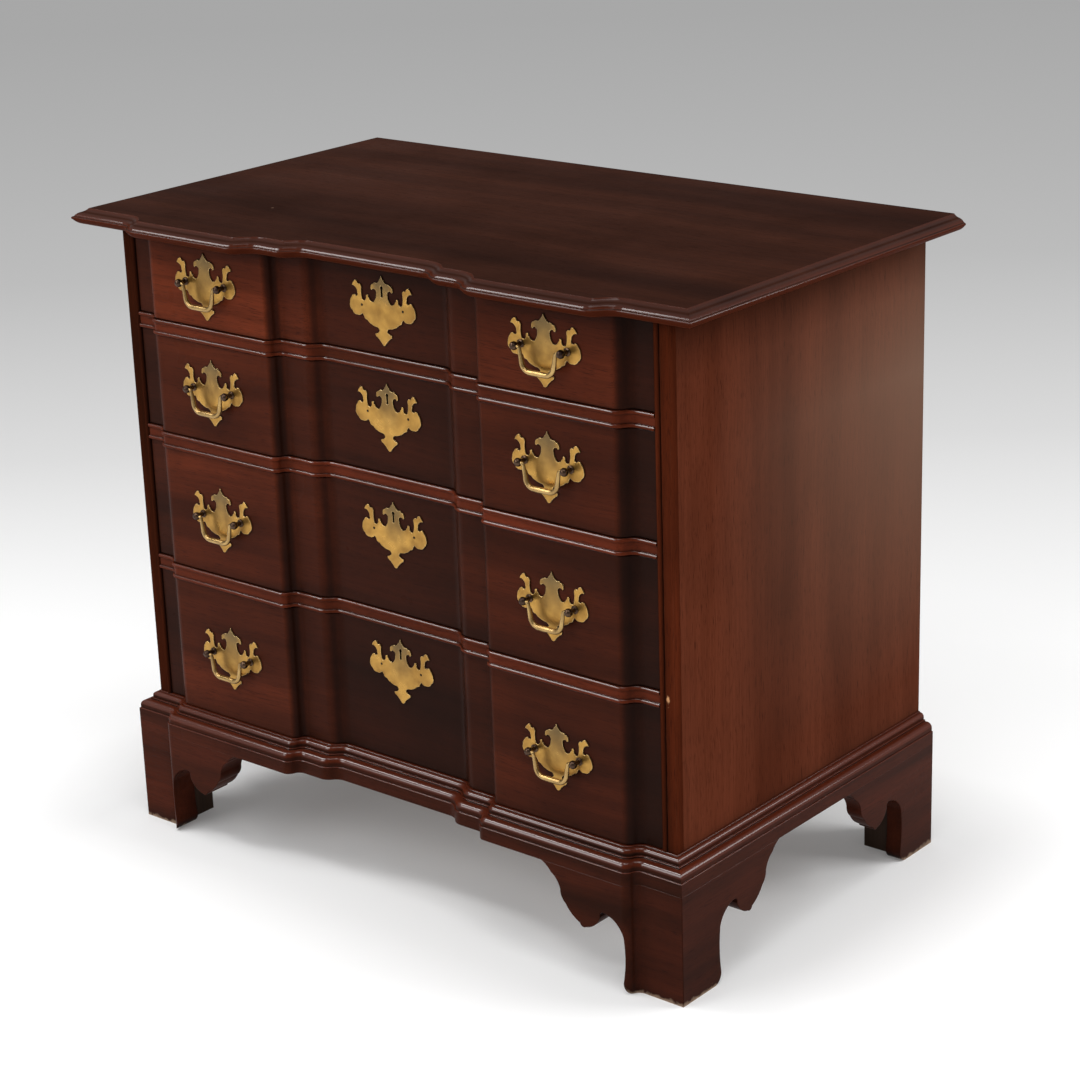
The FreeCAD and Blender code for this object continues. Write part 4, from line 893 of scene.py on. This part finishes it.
# %% Extrude the ring along the path
def bail(drawer, side):
    """One bail: a ring that is carried along the path and grown at each station."""
    low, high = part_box("bail_%d_%s" % (drawer, side))
    middle = Vector(((low.x + high.x) / 2, (low.y + high.y) / 2, high.z - WIRE))
    half = bail_half()
    path = [(-x, z) for x, z in reversed(half)] + half[1:]
    shape = bmesh.new()
    ring = bmesh.ops.create_circle(shape, segments=RING_POINTS, radius=1.0, cap_ends=True)["verts"]
    edges = list({edge for vert in ring for edge in vert.link_edges})
    last = Matrix.Identity(4)
    for index, (x, z) in enumerate(path):
        before = path[max(index - 1, 0)]
        after = path[min(index + 1, len(path) - 1)]
        along = Vector((after[0] - before[0], 0.0, after[1] - before[1])).normalized()
        turned = Vector((0.0, 0.0, 1.0)).rotation_difference(along).to_matrix().to_4x4()
        size = Matrix.Scale(bail_radius(x, z), 4)
        station = Matrix.Translation(middle + Vector((x, 0.0, z))) @ turned @ size
        if index:
            grown = bmesh.ops.extrude_edge_only(shape, edges=edges)["geom"]
            ring = [item for item in grown if isinstance(item, bmesh.types.BMVert)]
            edges = [item for item in grown if isinstance(item, bmesh.types.BMEdge)]
        bmesh.ops.transform(shape, matrix=station @ last.inverted(), verts=ring)
        last = station
    bmesh.ops.contextual_create(shape, geom=edges)
    bmesh.ops.recalc_face_normals(shape, faces=shape.faces)
    for face in shape.faces:
        face.smooth = len(face.verts) == 4
    name = "bail_%d_%s" % (drawer, side)
    made = piece("cast_" + name, shape, bail_brass, name)
    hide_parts(name)
    return made


for drawer in DRAWERS:
    for side in SIDES:
        made = bail(drawer, side)
print(made.name, "faces:", len(made.data.polygons))

# %% [markdown]
# ## The camera
#
# The camera looks down on the right front corner from a metre and a half above the floor.  Its
# focal length in pixels is for a square picture, and the shift moves the middle of the lens a
# little off the middle of the picture.

# %% Camera
CAMERA_AT = Vector((2.0065, -2.33095, 1.4601))
YAW, PITCH, ROLL = 0.6952, -0.3358, -0.0322
FOCAL_PIXELS = 2713.1
PICTURE = 1080
CENTRE = (552.4, 538.4)
SENSOR_WIDTH = 36.0

forward = Vector((-math.sin(YAW) * math.cos(PITCH), math.cos(YAW) * math.cos(PITCH), math.sin(PITCH)))
level_right = Vector((math.cos(YAW), math.sin(YAW), 0.0))
level_up = level_right.cross(forward)
right = math.cos(ROLL) * level_right + math.sin(ROLL) * level_up
up = math.cos(ROLL) * level_up - math.sin(ROLL) * level_right
camera_data = bpy.data.cameras.new("camera")
camera_data.sensor_width = SENSOR_WIDTH
camera_data.lens = FOCAL_PIXELS / PICTURE * SENSOR_WIDTH
camera_data.shift_x = (PICTURE / 2 - CENTRE[0]) / PICTURE
camera_data.shift_y = (CENTRE[1] - PICTURE / 2) / PICTURE
camera = bpy.data.objects.new("camera", camera_data)
camera.matrix_world = Matrix.Translation(CAMERA_AT) @ Matrix((right, up, -forward)).transposed().to_4x4()
bpy.context.scene.collection.objects.link(camera)
bpy.context.scene.camera = camera
print("lens: %.1f mm" % camera_data.lens)

# %% [markdown]
# ## The floor
#
# The floor is one large pale sheet that fades from white near the chest to a soft grey far
# behind it.  The fade is in the floor's own colour, along the way the camera looks, so the
# lamps stay the same from every side.
#
# A studio floor is lit to pure white round the object.  Here that last step is a faint glow in
# the floor's material, which is weaker under the chest so that its shadow stays.  Only rays
# from the camera, from mirrors and through glass see the glow, so it adds no light to the chest.

# %% Floor
FLOOR_HALF = 30.0
FADE_STARTS, FADE_ENDS = -0.1, 6.8
FLOOR_GREYS = ((0.0, 0.88), (0.065, 0.74), (0.25, 0.43), (0.45, 0.27), (1.0, 0.16))
GLOW_UNDER, GLOW_BESIDE = 0.12, 0.32
GLOW_RISES, GLOW_IS_FULL = 20 * MM, 200 * MM
WHITE = (1.0, 1.0, 1.0, 1.0)

floor_shape = bmesh.new()
bmesh.ops.create_grid(floor_shape, x_segments=1, y_segments=1, size=FLOOR_HALF)
floor_mesh = bpy.data.meshes.new("floor")
floor_shape.to_mesh(floor_mesh)
floor_shape.free()
floor = bpy.data.objects.new("floor", floor_mesh)
bpy.context.scene.collection.objects.link(floor)


def fading_grey(tree, place, ahead):
    """The grey of the floor, from how far ahead of the chest a point lies."""
    distance = vector_maths(tree, "DOT_PRODUCT", place, ahead)
    shade = add(tree, "ValToRGB", {"Fac": spread(tree, distance, FADE_STARTS, FADE_ENDS)})
    stops = shade.color_ramp.elements
    for place_on_ramp, _ in FLOOR_GREYS[1:-1]:
        stops.new(place_on_ramp)
    for stop, (_, grey) in zip(stops, FLOOR_GREYS):
        stop.color = (grey, grey, grey, 1.0)
    return shade.outputs[0]


def seen_glow(tree, place):
    """The glow that camera, mirror and glass rays see, from the distance to the chest's own box."""
    middle = (frame_box[1] + frame_box[0]) / 2
    half = (frame_box[1] - frame_box[0]) / 2
    beyond = vector_maths(tree, "ABSOLUTE", vector_maths(tree, "SUBTRACT", place, middle))
    beyond = vector_maths(tree, "MAXIMUM", vector_maths(tree, "SUBTRACT", beyond, half))
    distance = vector_maths(tree, "LENGTH", beyond)
    glow = spread(tree, distance, GLOW_RISES, GLOW_IS_FULL, GLOW_UNDER, GLOW_BESIDE)
    ray = add(tree, "LightPath").outputs
    seen = maths(tree, "ADD", ray["Is Camera Ray"], ray["Is Glossy Ray"])
    seen = maths(tree, "ADD", seen, ray["Is Transmission Ray"], clamp=True)
    return maths(tree, "MULTIPLY", seen, glow)


floor_material, floor_tree, floor_shader = new_material("floor")
floor_place = add(floor_tree, "TexCoord").outputs["Object"]
ahead = Vector((forward.x, forward.y, 0.0)).normalized()
fill(floor_tree, floor_shader, {
    "Base Color": fading_grey(floor_tree, floor_place, ahead),
    "Roughness": 0.9,
    "Specular IOR Level": 0.0,
    "Emission Color": WHITE,
    "Emission Strength": seen_glow(floor_tree, floor_place),
})
floor_mesh.materials.append(floor_material)
print("floor fades along", [round(v, 3) for v in ahead])

# %% [markdown]
# ## The light
#
# A plain white world and four lamps light the chest at a plain level, at which a colour comes
# out about as it is written.  The key stands at the left front, and a narrow strip above the
# left side draws the thin highlights along the beads.  The third lamp stands at the right rear,
# for the side, and the fourth hangs high overhead.

# %% Lamps and world
SKY = 0.38


def lamp(name, place, target, size, power):
    """A rectangular lamp at a place, turned towards its target."""
    data = bpy.data.lights.new(name, "AREA")
    data.shape = "RECTANGLE"
    data.size, data.size_y = size
    data.energy = power
    made = bpy.data.objects.new(name, data)
    aim = (Vector(target) - Vector(place)).to_track_quat("-Z", "Y")
    made.matrix_world = Matrix.Translation(place) @ aim.to_matrix().to_4x4()
    bpy.context.scene.collection.objects.link(made)


lamp("key", place=(-1.5, -3.1, 2.1), target=(0.0, 0.0, 0.3), size=(2.2, 1.8), power=46)
lamp("strip", place=(-1.6, -1.1, 2.4), target=(-1.6, -0.2, 0.4), size=(1.5, 0.35), power=20)
lamp("side", place=(2.8, 2.0, 2.0), target=(0.3, 0.0, 0.4), size=(1.8, 1.6), power=62)
lamp("overhead", place=(0.8, -1.0, 5.0), target=(0.0, 0.0, 0.3), size=(3.0, 3.0), power=90)

world = bpy.data.worlds.new("world")
world.use_nodes = True
fill(world.node_tree, world.node_tree.nodes["Background"], {"Color": WHITE, "Strength": SKY})
bpy.context.scene.world = world
bpy.context.scene.view_settings.view_transform = "Standard"
print("lamps:", len(bpy.data.lights), " world strength:", SKY)
